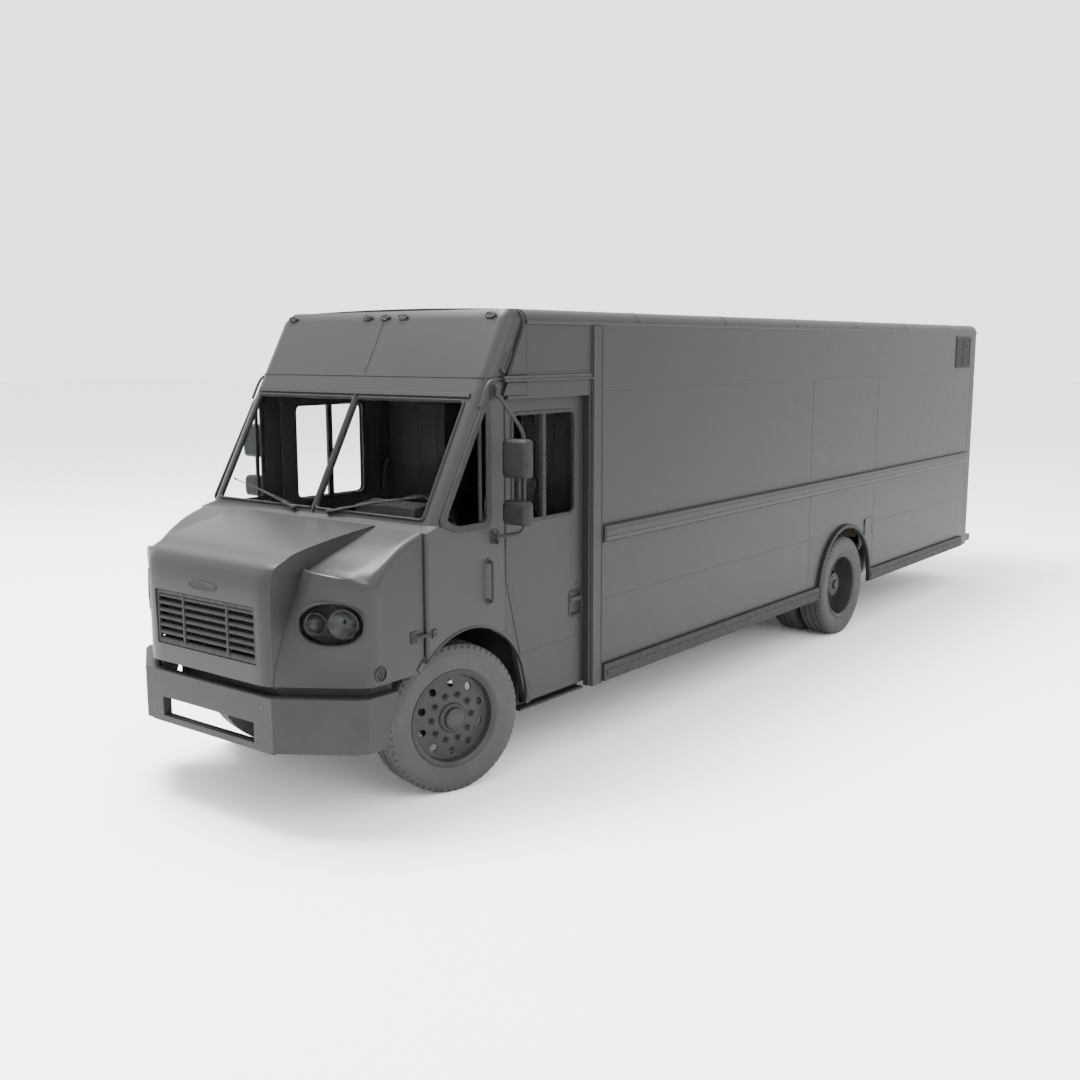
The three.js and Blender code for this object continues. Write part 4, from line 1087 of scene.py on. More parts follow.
def wheels():
    rest = math.radians(-16)
    for name, side in SIDES:
        spin = math.pi if side < 0 else 0
        steered = Matrix.Translation((side * 0.780, -3.880, TYRE_R)) @ Matrix.Rotation(rest + spin, 4, "Z")
        outward = steered @ Matrix.Translation((0.025, 0, 0))
        for piece, mesh, material, node in (
            ("front_tyre", tyre_mesh(), "tyre_rubber", "front_tyre"),
            ("front_rim", front_rim_mesh(), "wheel_steel", "front_rim"),
        ):
            mesh.transform(outward)
            put(f"{piece}_{name}_piece", mesh, f"front_wheel_{name}", material, [f"{node}_{name}"])
        hub = front_hub_mesh()
        hub.transform(outward)
        put(f"front_hub_{name}", hub, f"front_wheel_{name}", "wheel_steel")
        knuckle = eased(cad_copy(f"knuckle_{name}"), 0.003)
        put(f"knuckle_{name}_piece", knuckle, f"knuckle_{name}", "cast_metal", [f"knuckle_{name}"])
        brake = turned(
            [
                (0.10, -0.040), (0.185, -0.040), (0.190, -0.030), (0.190, 0.005), (0.180, 0.012),
                (0.10, 0.012)
            ],
            (0, 0, 0), "X", 64, True
        )
        brake.transform(outward)
        put(f"front_brake_{name}", brake, f"front_wheel_{name}", "cast_metal")
        pair = Matrix.Translation((side * 0.779, REAR_AXLE, TYRE_R)) @ Matrix.Rotation(spin, 4, "Z")
        for share, where in (("outer", 0.146), ("inner", -0.146)):
            mesh = tyre_mesh()
            mesh.transform(pair @ Matrix.Translation((where, 0, 0)))
            put(
                f"rear_tyre_{name}_{share}_piece", mesh, f"rear_wheel_{name}", "tyre_rubber",
                [f"rear_tyre_{name}_{share}"]
            )
        rim = rear_rim_mesh()
        rim.transform(pair)
        put(f"rear_rim_{name}_piece", rim, f"rear_wheel_{name}", "wheel_steel", [f"rear_rim_{name}"])
        hub = rear_hub_mesh()
        hub.transform(pair)
        put(f"rear_hub_{name}", hub, f"rear_wheel_{name}", "wheel_steel")


# ------------------------------------------------------------------ cab front
QUARTER = [(-3.716, 2.352), (-3.778, 2.344), (-4.150, 1.700), (-4.010, 1.640), (-3.716, 1.640)]


def grown(points, by):
    """An outline moved out by a distance, corner by corner."""
    centre = Vector((sum(p[0] for p in points) / len(points), sum(p[1] for p in points) / len(points)))
    made = []
    count = len(points)
    for i in range(count):
        before, here, after = (Vector(points[(i + k) % count]) for k in (-1, 0, 1))
        normals = []
        for a, b in ((before, here), (here, after)):
            run = (b - a).normalized()
            normal = Vector((run.y, -run.x))
            if normal.dot((a + b) / 2 - centre) < 0:
                normal = -normal
            normals.append(normal)
        both = (normals[0] + normals[1]).normalized()
        made.append(tuple(here + both * by / max(0.4, both.dot(normals[0]))))
    return made


def on_slope(mesh):
    """Moves a shape made in (x, distance up the slope), depth inward, onto the windscreen plane."""
    z_axis = Vector((0, CAB_SLOPE, 1)).normalized()
    y_axis = Vector((0, 1, -CAB_SLOPE)).normalized()
    basis = Matrix(((1, 0, 0), (0, y_axis.y, z_axis.y), (0, y_axis.z, z_axis.z))).to_4x4()
    mesh.transform(Matrix.Translation((0, front_y(WINDOW_FOOT), WINDOW_FOOT)) @ basis)
    return mesh


SLOPE_RISE = math.sqrt(1 + CAB_SLOPE**2)


def slope_z(z):
    """Distance up the windscreen plane of height z."""
    return (z - WINDOW_FOOT) * SLOPE_RISE


def windscreens():
    low, high = slope_z(WINDOW_FOOT + 0.024), slope_z(WINDOW_HEAD + 0.001)
    for name, side in SIDES:
        outline = rounded((0.007, 0.936), (low - 0.006, high + 0.006), 0.030, 6)
        inner = rounded((0.020, 0.918), (low + 0.012, high - 0.012), 0.020, 6)
        gasket = sheet([outline, inner], "Y", (-0.010, 0.020), 0.006, 2)
        bead = rounded((0.013, 0.928), (low + 0.002, high - 0.002), 0.026, 6)
        ridge = tube([(x, -0.010, z) for x, z in bead], 0.0035, False, 3, True)
        seal = on_slope(merged([gasket, ridge]))
        put(f"windshield_seal_{name}", sided(seal, side), "chassis", "seal_rubber")
        pane = block((0.0165, 0.9235), (0.005, 0.011), (low + 0.004, high - 0.004), 0.001, 1)
        put(
            f"windshield_{name}_piece", sided(on_slope(pane), side), "chassis", "glass",
            [f"windshield_{name}"]
        )
        edge = softened(grown(QUARTER, 0.012), 0.045, 6)
        hole = softened(grown(QUARTER, -0.030), 0.035, 6)
        rubber = sheet([edge, hole], "X", (CAB_HALF - 0.004, CAB_HALF + 0.011), 0.005, 2)
        put(f"quarter_seal_{name}", sided(rubber, side), "chassis", "seal_rubber")
        glass = sheet(
            [softened(grown(QUARTER, -0.006), 0.03, 6)], "X", (CAB_HALF - 0.024, CAB_HALF - 0.018), 0.001
        )
        put(
            f"quarter_window_{name}_piece", sided(glass, side), "chassis", "glass",
            [f"quarter_window_{name}"]
        )
        post = sheet(
            [softened([(-3.800, 1.67), (-3.776, 1.67), (-3.776, 2.32), (-3.800, 2.30)], 0.004)], "X",
            (CAB_HALF - 0.017, CAB_HALF - 0.004), 0.003
        )
        put(f"quarter_divider_{name}", sided(post, side), "chassis", "dark_trim")
    bar = on_slope(block((-0.0075, 0.0075), (-0.016, 0.004), (low - 0.02, high + 0.02), 0.005, 3))
    put("windshield_centre_bar", bar, "chassis", "seal_rubber")


def cab():
    front = eased(cad_copy("cab_front"), 0.004, 2, 40)
    put("cab_front_piece", front, "chassis", "moulded_paint", ["cab_front"], 30)
    header = on_slope(block((-0.955, 0.955), (-0.012, 0.003), (slope_z(2.402), slope_z(2.428)), 0.005, 2))
    put("cab_header_trim", header, "chassis", "dark_trim")
    z = 2.521
    y = front_y(z)
    corner = 0.09
    path = [(x, yy, z) for x, yy in arc(CAB_HALF - corner, y + corner, corner + 0.0006, 0, -90, 10)]
    strip_path = [(CAB_HALF + 0.0006, -3.385, z), *path]
    strip_path += [(-x, yy, zz) for x, yy, zz in reversed(strip_path)]
    put("cab_cap_seam", tube(strip_path, 0.0035, False, 3), "chassis", "seal_rubber")
    upper = [(0.0, front_y(h) - 0.0008, h) for h in (2.54, 2.868)]
    put("cab_cap_centre_seam", tube(upper, 0.0025, False, 3), "chassis", "seal_rubber")
    for index, x in enumerate((-0.8945, -0.16, 0, 0.16, 0.8945)):
        marker_lamp(f"roof_marker_{index + 1}", x)
    antenna = [
        turned(
            [(0.001, 0), (0.017, 0), (0.017, 0.010), (0.010, 0.022), (0.001, 0.022)],
            (CAB_HALF, -3.589, 2.557), "X", 20
        ),
        tube(
            [
                (CAB_HALF + 0.018, -3.589, 2.557), (CAB_HALF + 0.030, -3.583, 2.570),
                (CAB_HALF + 0.028, -3.55, 2.62), (CAB_HALF + 0.022, -3.520, 2.672)
            ],
            0.0035
        ),
    ]
    put("antenna", merged(antenna), "chassis", "wiper_black")
    for name, side in SIDES:
        x = CAB_HALF
        y = -3.729
        grab = [
            tube(
                [
                    (x, y, 1.175), (x + 0.030, y, 1.178), (x + 0.036, y, 1.20), (x + 0.036, y, 1.30),
                    (x + 0.036, y, 1.40), (x + 0.030, y, 1.422), (x, y, 1.425)
                ],
                0.010
            ),
            *[
                turned(
                    [(0.001, 0), (0.022, 0), (0.020, 0.006), (0.001, 0.007)], (x - 0.0005, y, z), "X", 24
                )
                for z in (1.175, 1.425)
            ],
        ]
        put(f"grab_handle_{name}", sided(merged(grab), side), "chassis", "chassis_steel")
        gutter = spline(
            [(-3.800, 2.352), (-3.744, 2.455), (-3.700, 2.500), (-3.640, 2.511), (-3.50, 2.512)], 5
        )
        strips = [tube([(CAB_HALF + 0.003, y, z) for y, z in gutter], 0.009, False, 4)]
        section = [
            (0.0, -0.020), (0.014, -0.020), (0.020, -0.016), (0.020, -0.006), (0.012, 0.000),
            (0.010, 0.018), (0.0, 0.020)
        ]
        strips.append(loft([[(BODY_HALF + a, y, 2.511 + b) for a, b in section] for y in (-3.60, -2.664)]))
        strips.append(block((CAB_HALF, BODY_HALF + 0.001), (-3.60, -3.38), (2.492, 2.531), 0.003))
        put(f"drip_rail_{name}", sided(merged(strips), side), "chassis", "moulded_paint")
        sill = [block((0.935, 1.010), (-3.409, -2.723), (0.402, 0.418), 0.004)]
        for i in range(16):
            sill.append(block(
                (0.945, 1.002), (-3.395 + i * 0.042, -3.375 + i * 0.042), (0.417, 0.421), 0.0015
            ))
        put(f"door_sill_{name}", sided(merged(sill), side), "chassis", "floor_plate")
        flange = [tube(
            [
                (CAB_HALF + 0.001, py, pz) for py,
                pz in arc(FRONT_ARCH[0], FRONT_ARCH[1], FRONT_ARCH[2] + 0.006, 132, 12, 40)
            ],
            0.007, False, 4
        )]
        put(f"cab_arch_lip_{name}", sided(merged(flange), side), "chassis", "moulded_paint")


def marker_lamp(name, x):
    z = 2.8906
    centre = Vector((x, front_y(z), z))
    rings = []
    for grow, lift in ((0.004, 0.0), (0.004, 0.007), (0.0, 0.010), (-0.002, 0.010)):
        rings.append([((0.040 + grow) * c, -lift, (0.019 + grow) * s) for c, s in unit_ring(32)])
    base = loft(rings)
    lens = []
    for grow, lift in ((-0.002, 0.008), (-0.003, 0.015), (-0.007, 0.021), (-0.013, 0.0245)):
        lens.append([((0.040 + grow) * c, -lift, (0.019 + grow) * s) for c, s in unit_ring(32)])
    cover = loft(lens)
    tilt = Matrix.Translation(centre) @ Matrix.Rotation(-math.atan(CAB_SLOPE), 4, "X")
    base.transform(tilt)
    cover.transform(tilt)
    put(f"{name}_base", base, "chassis", "dark_trim")
    put(f"{name}_lens", cover, "chassis", "lamp_lens")


# ------------------------------------------------------------------ cargo body
def roof():
    crown, r = 0.018, 0.075
    low = RAIL + 0.0005

    def section(half, top, radius, foot):
        right = arc(half - radius, top - radius, radius, 0, 90, 12)
        over = [
            (x, top + crown * (1 - (x / (half - radius)) ** 2))
            for x in (0.8, 0.55, 0.28, 0, -0.28, -0.55, -0.8)
        ]
        return [(half, foot), *right, *over, *[(-x, z) for x, z in reversed(right)], (-half, foot)]

    outer = section(BODY_HALF, ROOF_EDGE, r, low)
    inner = section(BODY_HALF - 0.005, ROOF_EDGE - 0.005, r - 0.003, low)
    ring = [*outer, *reversed(inner)]
    ends = (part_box("roof")[0][1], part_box("roof")[1][1])
    shell = loft([[(x, y, z) for x, z in ring] for y in ends])
    bows = []
    y = ends[0]
    while y < ends[1] - 0.04:
        bows.append(block((-0.985, 0.985), (y, y + 0.04), (ROOF_EDGE - 0.04, ROOF_EDGE - 0.004), 0.003))
        y += 0.61
    put("roof_piece", merged([shell, *bows]), "chassis", "body_paint", ["roof"])
    laps = []
    over = section(BODY_HALF + 0.0012, ROOF_EDGE + 0.0012, r, low + 0.02)
    for y in (-2.15, -0.93, 0.29, 1.51, 2.73, 3.95):
        under = section(BODY_HALF, ROOF_EDGE, r, low + 0.02)
        band = [*over, *reversed(under)]
        laps.append(loft([[(x, yy, z) for x, z in band] for yy in (y, y + 0.028)]))
    put("roof_lap_strips", merged(laps), "chassis", "body_paint")
    foot = 2.41
    lip = [
        *section(BODY_HALF - 0.006, ROOF_EDGE - 0.004, r, foot),
        *reversed(section(BODY_HALF - 0.050, ROOF_EDGE - 0.045, r - 0.02, foot)),
    ]
    seal = loft([[(x, yy, z) for x, z in lip] for yy in (ends[0] - 0.020, ends[0] + 0.006)])
    put("cap_to_roof_seal", seal, "chassis", "seal_rubber")


def side_skin(side, name):
    """The outer sheet of a body side, with its panel joints and rail mouldings."""
    x = (BODY_HALF + 0.0004, BODY_HALF + 0.0026)
    rear = BODY_REAR - 0.060
    y, z, r = REAR_ARCH
    reach = math.degrees(math.asin((z - SKIRT - 0.004) / r))
    outline = [
        (rear, SKIRT + 0.004),
        (rear, RAIL - 0.004),
        (ROOF_FRONT + 0.002, RAIL - 0.004),
        (ROOF_FRONT + 0.002, 2.404),
        (-2.696, 2.404),
        (-2.696, SKIRT + 0.004),
        *arc(y, z, r, 180 + reach, -reach, 40),
    ]
    skin = sheet([outline], "X", x, 0.0006)
    groove = 0.0022
    deep = (BODY_HALF + 0.0008, BODY_HALF + 0.01)
    cutters = [
        block(deep, (-2.6, 4.9), (2.41 - groove, 2.41 + groove), 0),
        block(deep, (-2.57, 4.9), (1.0 - groove, 1.0 + groove), 0),
        block(deep, (-2.576 - groove, -2.576 + groove), (0.3, 2.41), 0),
        block(deep, (0.646 - groove, 0.646 + groove), (0.3, 2.41), 0),
        block(deep, (2.076 - groove, 2.076 + groove), (0.3, 2.41), 0),
        block(deep, (4.706 - groove, 4.706 + groove), (0.3, 2.9), 0),
    ]
    put(f"side_skin_{name}", sided(carved(skin, cutters), side), "chassis", "body_paint")
    moulding = [(0.0, -0.012), (0.006, -0.010), (0.009, 0.0), (0.006, 0.010), (0.0, 0.012)]
    rings = [
        [(BODY_HALF + 0.0002 + a, yy, RAIL + b) for a, b in moulding]
        for yy in (ROOF_FRONT + 0.001, BODY_REAR - 0.002)
    ]
    put(f"roof_rail_moulding_{name}", sided(loft(rings), side), "chassis", "body_paint")
    fixings = []
    for i in range(60):
        fixings.append(dome((BODY_HALF + 0.0085, -3.34 + i * 0.138, RAIL), (1, 0, 0), 0.0045, 0.002, 8))
    put(f"roof_rail_rivets_{name}", sided(merged(fixings), side), "chassis", "body_paint")


def door_posts(side, name):
    """The raised post behind the cab door, with a rolled edge on each side."""
    x = (BODY_HALF + 0.0004, BODY_HALF + 0.016)
    section = softened([(x[0], -2.700), (x[0], -2.580), (x[1], -2.588), (x[1], -2.692)], 0.006, 3)
    post = loft([[(a, b, z) for a, b in section] for z in (SKIRT - 0.004, RAIL - 0.015)])
    beads = [
        tube(
            [(x[1] - 0.001, y, SKIRT), (x[1] - 0.001, y, RAIL - 0.02)], 0.0055, False, 3
        ) for y in (-2.690, -2.590)
    ]
    bolts = [dome((x[1] - 0.0005, -2.640, 0.5 + i * 0.29), (1, 0, 0), 0.007, 0.003, 12) for i in range(8)]
    put(f"door_post_cover_{name}", sided(merged([post, *beads, *bolts]), side), "chassis", "body_paint")


def door_surround(side, name):
    """Panels over the cab door, the jamb behind it and the slanted trim ahead of it."""
    face = (CAB_HALF + 0.0012, BODY_HALF + 0.0016)
    upper = [(-3.560, 2.532), (-2.701, 2.532), (-2.701, 2.842), (-3.400, 2.842)]
    lower = [(-3.600, 2.412), (-2.701, 2.412), (-2.701, 2.490), (-3.560, 2.490)]
    parts = [sheet([softened(outline, 0.006, 3)], "X", face, 0.004, 2) for outline in (upper, lower)]
    bead = softened(grown(upper, -0.012), 0.02, 5)
    parts.append(tube([(face[1], y, z) for y, z in bead], 0.0055, False, 3, True))
    jamb_face = (1.0045, BODY_HALF + 0.0010)
    parts.append(block(jamb_face, (-2.722, -2.6985), (SKIRT + 0.002, 2.404), 0.003))
    parts.append(block((1.0045, BODY_HALF + 0.0010), (-3.560, -2.722), (2.388, 2.410), 0.003))
    y, z, r = FRONT_ARCH
    rise = [a for a in arc(y, z, r + 0.001, math.degrees(math.asin((0.452 - z) / r)), 51.5, 24)]
    slant = [(-3.333, 0.452), *rise, (-3.5765, 1.45), (-3.560, 1.45), (-3.558, 1.282)]
    parts.append(sheet([slant], "X", (1.0120, CAB_HALF + 0.0012), 0.002))
    parts.append(tube(
        [(CAB_HALF, -3.338, 0.455), (CAB_HALF, -3.563, 1.282), (CAB_HALF, -3.566, 2.36)], 0.0075, False, 3
    ))
    put(f"door_surround_{name}", sided(merged(parts), side), "chassis", "body_paint")


def belt_rail(side, name):
    low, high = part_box(f"belt_rail_{name}")
    middle = (low[2] + high[2]) / 2
    section = [
        (0.0006, -0.065), (0.030, -0.056), (0.036, -0.050), (0.0385, -0.030), (0.040, 0.0), (0.0385, 0.030),
        (0.036, 0.050), (0.030, 0.056), (0.0006, 0.065)
    ]
    ends = (low[1], low[1] + 0.012, high[1] - 0.012, high[1])
    rings = []
    for y, scale in zip(ends, (0.72, 1, 1, 0.72)):
        rings.append([
            (BODY_HALF + 0.0006 + (a - 0.0006) * scale, y, middle + b * (0.97 if scale < 1 else 1)) for a,
            b in section
        ])
    rail = loft(rings)
    strips = [
        block(
            (BODY_HALF + 0.0385, BODY_HALF + 0.0425), (low[1] + 0.02, high[1] - 0.02),
            (middle + k - 0.004, middle + k + 0.004), 0.0015
        )
        for k in (-0.022, 0.022)
    ]
    put(
        f"belt_rail_{name}_piece", sided(merged([rail, *strips]), side), "chassis", "body_paint",
        [f"belt_rail_{name}"]
    )


def lower_trim(side, name):
    y0, z0, r = REAR_ARCH
    x = (BODY_HALF + 0.0006, BODY_HALF + 0.034)
    low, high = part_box(f"lower_trim_{name}")
    base = 0.425
    reach = math.degrees(math.asin((z0 - base) / (r + 0.002)))
    flare = [
        *arc(y0, z0, r + 0.036, 180 + reach * 0.9, -reach * 0.9, 48),
        *arc(y0, z0, r + 0.001, -reach, 180 + reach, 48)
    ]
    parts = [sheet([flare], "X", x, 0.008, 3)]
    for a, b in ((low[1], REAR_AXLE - 0.552), (REAR_AXLE + 0.552, high[1])):
        parts.append(block(x, (a, b), (base, 0.545), 0.010, 3))
        parts.append(block((x[1] - 0.001, x[1] + 0.004), (a + 0.03, b - 0.03), (0.470, 0.500), 0.002))
    put(
        f"lower_trim_{name}_piece", sided(merged(parts), side), "chassis", "dark_trim",
        [f"lower_trim_{name}"]
    )
    screws = []
    for i in range(24):
        y = -2.5 + i * 0.3
        if abs(y - REAR_AXLE) > 0.62 and y < high[1] - 0.05:
            screws.append(dome((x[1] + 0.0035, y, 0.485), (1, 0, 0), 0.006, 0.0025, 10))
    put(f"lower_trim_screws_{name}", sided(merged(screws), side), "chassis", "chassis_steel")


def side_vent():
    """Two columns of pressed louvres low under the roof rail, driver's side."""
    x = BODY_HALF + 0.0026
    parts = [
        sheet(
            [
                rounded((4.196, 4.646), (2.462, 2.808), 0.02),
                rounded((4.212, 4.414), (2.478, 2.792), 0.008),
                rounded((4.428, 4.630), (2.478, 2.792), 0.008)
            ],
            "X",
            (x - 0.001, x + 0.008),
            0.002,
        )
    ]
    for column in ((4.214, 4.412), (4.430, 4.628)):
        for i in range(15):
            z = 2.483 + i * 0.0206
            section = [(-0.001, 0.0), (0.010, 0.001), (0.0105, 0.004), (-0.001, 0.018)]
            parts.append(loft([[(x + a, y, z + b) for a, b in section] for y in column]))
    put("side_vent_louvres", merged(parts), "chassis", "dark_trim")
    backing = block((x - 0.0005, x + 0.0008), (4.205, 4.637), (2.470, 2.800), 0)
    put("side_vent_backing", backing, "chassis", "wiper_black")


def fuel_door():
    low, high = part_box("fuel_door")
    door = sheet(
        [rounded((low[1] + 0.003, high[1] - 0.003), (low[2] + 0.003, high[2] - 0.003), 0.02)], "X",
        (BODY_HALF + 0.0032, BODY_HALF + 0.0080), 0.0018, 2
    )
    bead = sheet(
        [
            rounded((low[1] + 0.020, high[1] - 0.020), (low[2] + 0.020, high[2] - 0.020), 0.014),
            rounded((low[1] + 0.026, high[1] - 0.026), (low[2] + 0.026, high[2] - 0.026), 0.010)
        ],
        "X",
        (BODY_HALF + 0.0075, BODY_HALF + 0.0095),
        0.0008,
    )
    pull = [dome(
        (BODY_HALF + 0.0078, high[1] - 0.034, (low[2] + high[2]) / 2), (1, 0, 0), 0.011, 0.004, 20
    )]
    hinge = [
        pin(
            (BODY_HALF + 0.0075, low[1] + 0.006, z - 0.018),
            (BODY_HALF + 0.0075, low[1] + 0.006, z + 0.018), 0.004
        )
        for z in (low[2] + 0.04, high[2] - 0.04)
    ]
    put("fuel_door_piece", merged([door, bead]), "fuel_door", "body_paint", ["fuel_door"])
    put("fuel_door_fittings", merged([*pull, *hinge]), "fuel_door", "chassis_steel")


def body_sides():
    for name, side in SIDES:
        panel = cad_copy(f"side_panel_{name}")
        put(f"side_panel_{name}_piece", panel, "chassis", "body_paint", [f"side_panel_{name}"])
        side_skin(side, name)
        door_posts(side, name)
        door_surround(side, name)
        belt_rail(side, name)
        lower_trim(side, name)
    side_vent()
    fuel_door()


def rear_end():
    frame_mesh = eased(cad_copy("rear_frame"), 0.004, 2, 40)
    put("rear_frame_piece", frame_mesh, "chassis", "body_paint", ["rear_frame"])
    y = BODY_REAR
    for name, side in SIDES:
        hole = loft([
            [(x, yy, z) for x, z in rounded((0.260, 0.620), (1.700, 2.250), 0.05, 6)]
            for yy in (y - 0.09, y + 0.03)
        ])
        leaf = eased(carved(cad_copy(f"rear_door_{name}"), [sided(hole, side)]), 0.003, 2, 40)
        body = f"rear_door_{name}"
        put(f"rear_door_{name}_piece", leaf, body, "body_paint", [f"rear_door_{name}"])
        gasket = sheet(
            [
                rounded((0.252, 0.628), (1.692, 2.258), 0.055, 8),
                rounded((0.280, 0.600), (1.720, 2.230), 0.04, 8)
            ],
            "Y", (y - 0.012, y + 0.006), 0.004, 2
        )
        put(f"rear_window_seal_{name}", sided(gasket, side), body, "seal_rubber")
        pane = sheet(
            [rounded((0.262, 0.618), (1.702, 2.248), 0.045, 8)], "Y", (y - 0.0120, y - 0.0060), 0.001
        )
        put(f"rear_window_glass_{name}", sided(pane, side), body, "glass")
        ribs = []
        for z in (1.02, 1.20, 1.38, 1.54):
            ribs.append(block((0.09, 0.73), (y - 0.0115, y - 0.0045), (z - 0.016, z + 0.016), 0.0035))
        put(f"rear_door_ribs_{name}", sided(merged(ribs), side), body, "body_paint")
        weather = [
            block((0.0035, 0.012), (y - 0.006, y + 0.001), (0.9, 2.6), 0.002),
            block((0.02, 0.81), (y - 0.006, y + 0.001), (0.8865, 0.896), 0.002),
        ]
        put(f"rear_door_weather_strip_{name}", sided(merged(weather), side), body, "seal_rubber")
        lamp_cluster(name, side)
        bolts = []
        for z in (1.1, 1.7, 2.4):
            for x in (0.72, 0.755, 0.79):
                bolts.append(bolt((x, y + 0.008, z), (0, 1, 0), 0.008, 0.005))
        put(f"rear_hinge_bolts_{name}", sided(merged(bolts), side), body, "chassis_steel")
    handle = eased(cad_copy("rear_door_handle"), 0.004, 2)
    put("rear_door_handle_piece", handle, "rear_door_handle", "chassis_steel", ["rear_door_handle"])
    rose = turned(
        [(0.001, 0.0), (0.040, 0.0), (0.040, 0.004), (0.034, 0.009), (0.001, 0.009)],
        (-0.06, y - 0.009, 1.30), "Y", 40
    )
    put("rear_handle_rose", rose, "rear_door_right", "chassis_steel")
    for index, x in enumerate((-0.62, -0.16, 0, 0.16, 0.62)):
        base = block((x - 0.055, x + 0.055), (y - 0.001, y + 0.010), (2.745, 2.785), 0.006)
        put(f"rear_marker_base_{index + 1}", base, "chassis", "dark_trim")
        lens = block((x - 0.046, x + 0.046), (y + 0.009, y + 0.020), (2.751, 2.779), 0.007, 3)
        put(f"rear_marker_lens_{index + 1}", lens, "chassis", "lamp_lens")
    plate = [block((-0.17, 0.17), (y + 0.0005, y + 0.005), (0.68, 0.80), 0.003)]
    put("rear_plate_holder", merged(plate), "chassis", "dark_trim")


def lamp_cluster(name, side):
    y = BODY_REAR
    x = 0.935
    housing = sheet(
        [rounded((x - 0.075, x + 0.075), (0.86, 1.495), 0.03, 6)], "Y", (y + 0.0005, y + 0.012), 0.004, 2
    )
    put(f"rear_lamp_base_{name}", sided(housing, side), "chassis", "dark_trim")
    for index, z in enumerate((0.945, 1.255, 1.41)):
        rim = turned(
            [(0.058, 0.0), (0.066, 0.0), (0.064, 0.010), (0.058, 0.012)], (x, y + 0.011, z), "Y", 40, True
        )
        put(f"rear_lamp_rim_{name}_{index + 1}", sided(rim, side), "chassis", "seal_rubber")
        bowl = turned(
            [(0.001, 0.001), (0.030, 0.0015), (0.058, 0.006), (0.058, 0.002), (0.001, 0.0)],
            (x, y + 0.012, z), "Y", 36
        )
        put(f"rear_lamp_reflector_{name}_{index + 1}", sided(bowl, side), "chassis", "reflector")
        lens = dome((x, y + 0.018, z), (0, 1, 0), 0.057, 0.012, 36)
        put(f"rear_lamp_lens_{name}_{index + 1}", sided(lens, side), "chassis", "lamp_lens")


# ------------------------------------------------------------------ cab doors
def window_cutters():
    """The two halves of the door window, either side of its slim bar."""
    halves = (
        [
            (-3.166, 1.624), (-3.166, 2.295), *arc(-3.414, 2.245, 0.05, 90, 180, 6),
            *arc(-3.414, 1.674, 0.05, 180, 270, 6)
        ],
        [
            (-3.124, 1.624), *arc(-2.869, 1.674, 0.05, 270, 360, 6), *arc(-2.869, 2.245, 0.05, 0, 90, 6),
            (-3.124, 2.295)
        ],
    )
    return [loft([[(x, y, z) for y, z in half] for x in (0.90, 1.10)]) for half in halves]


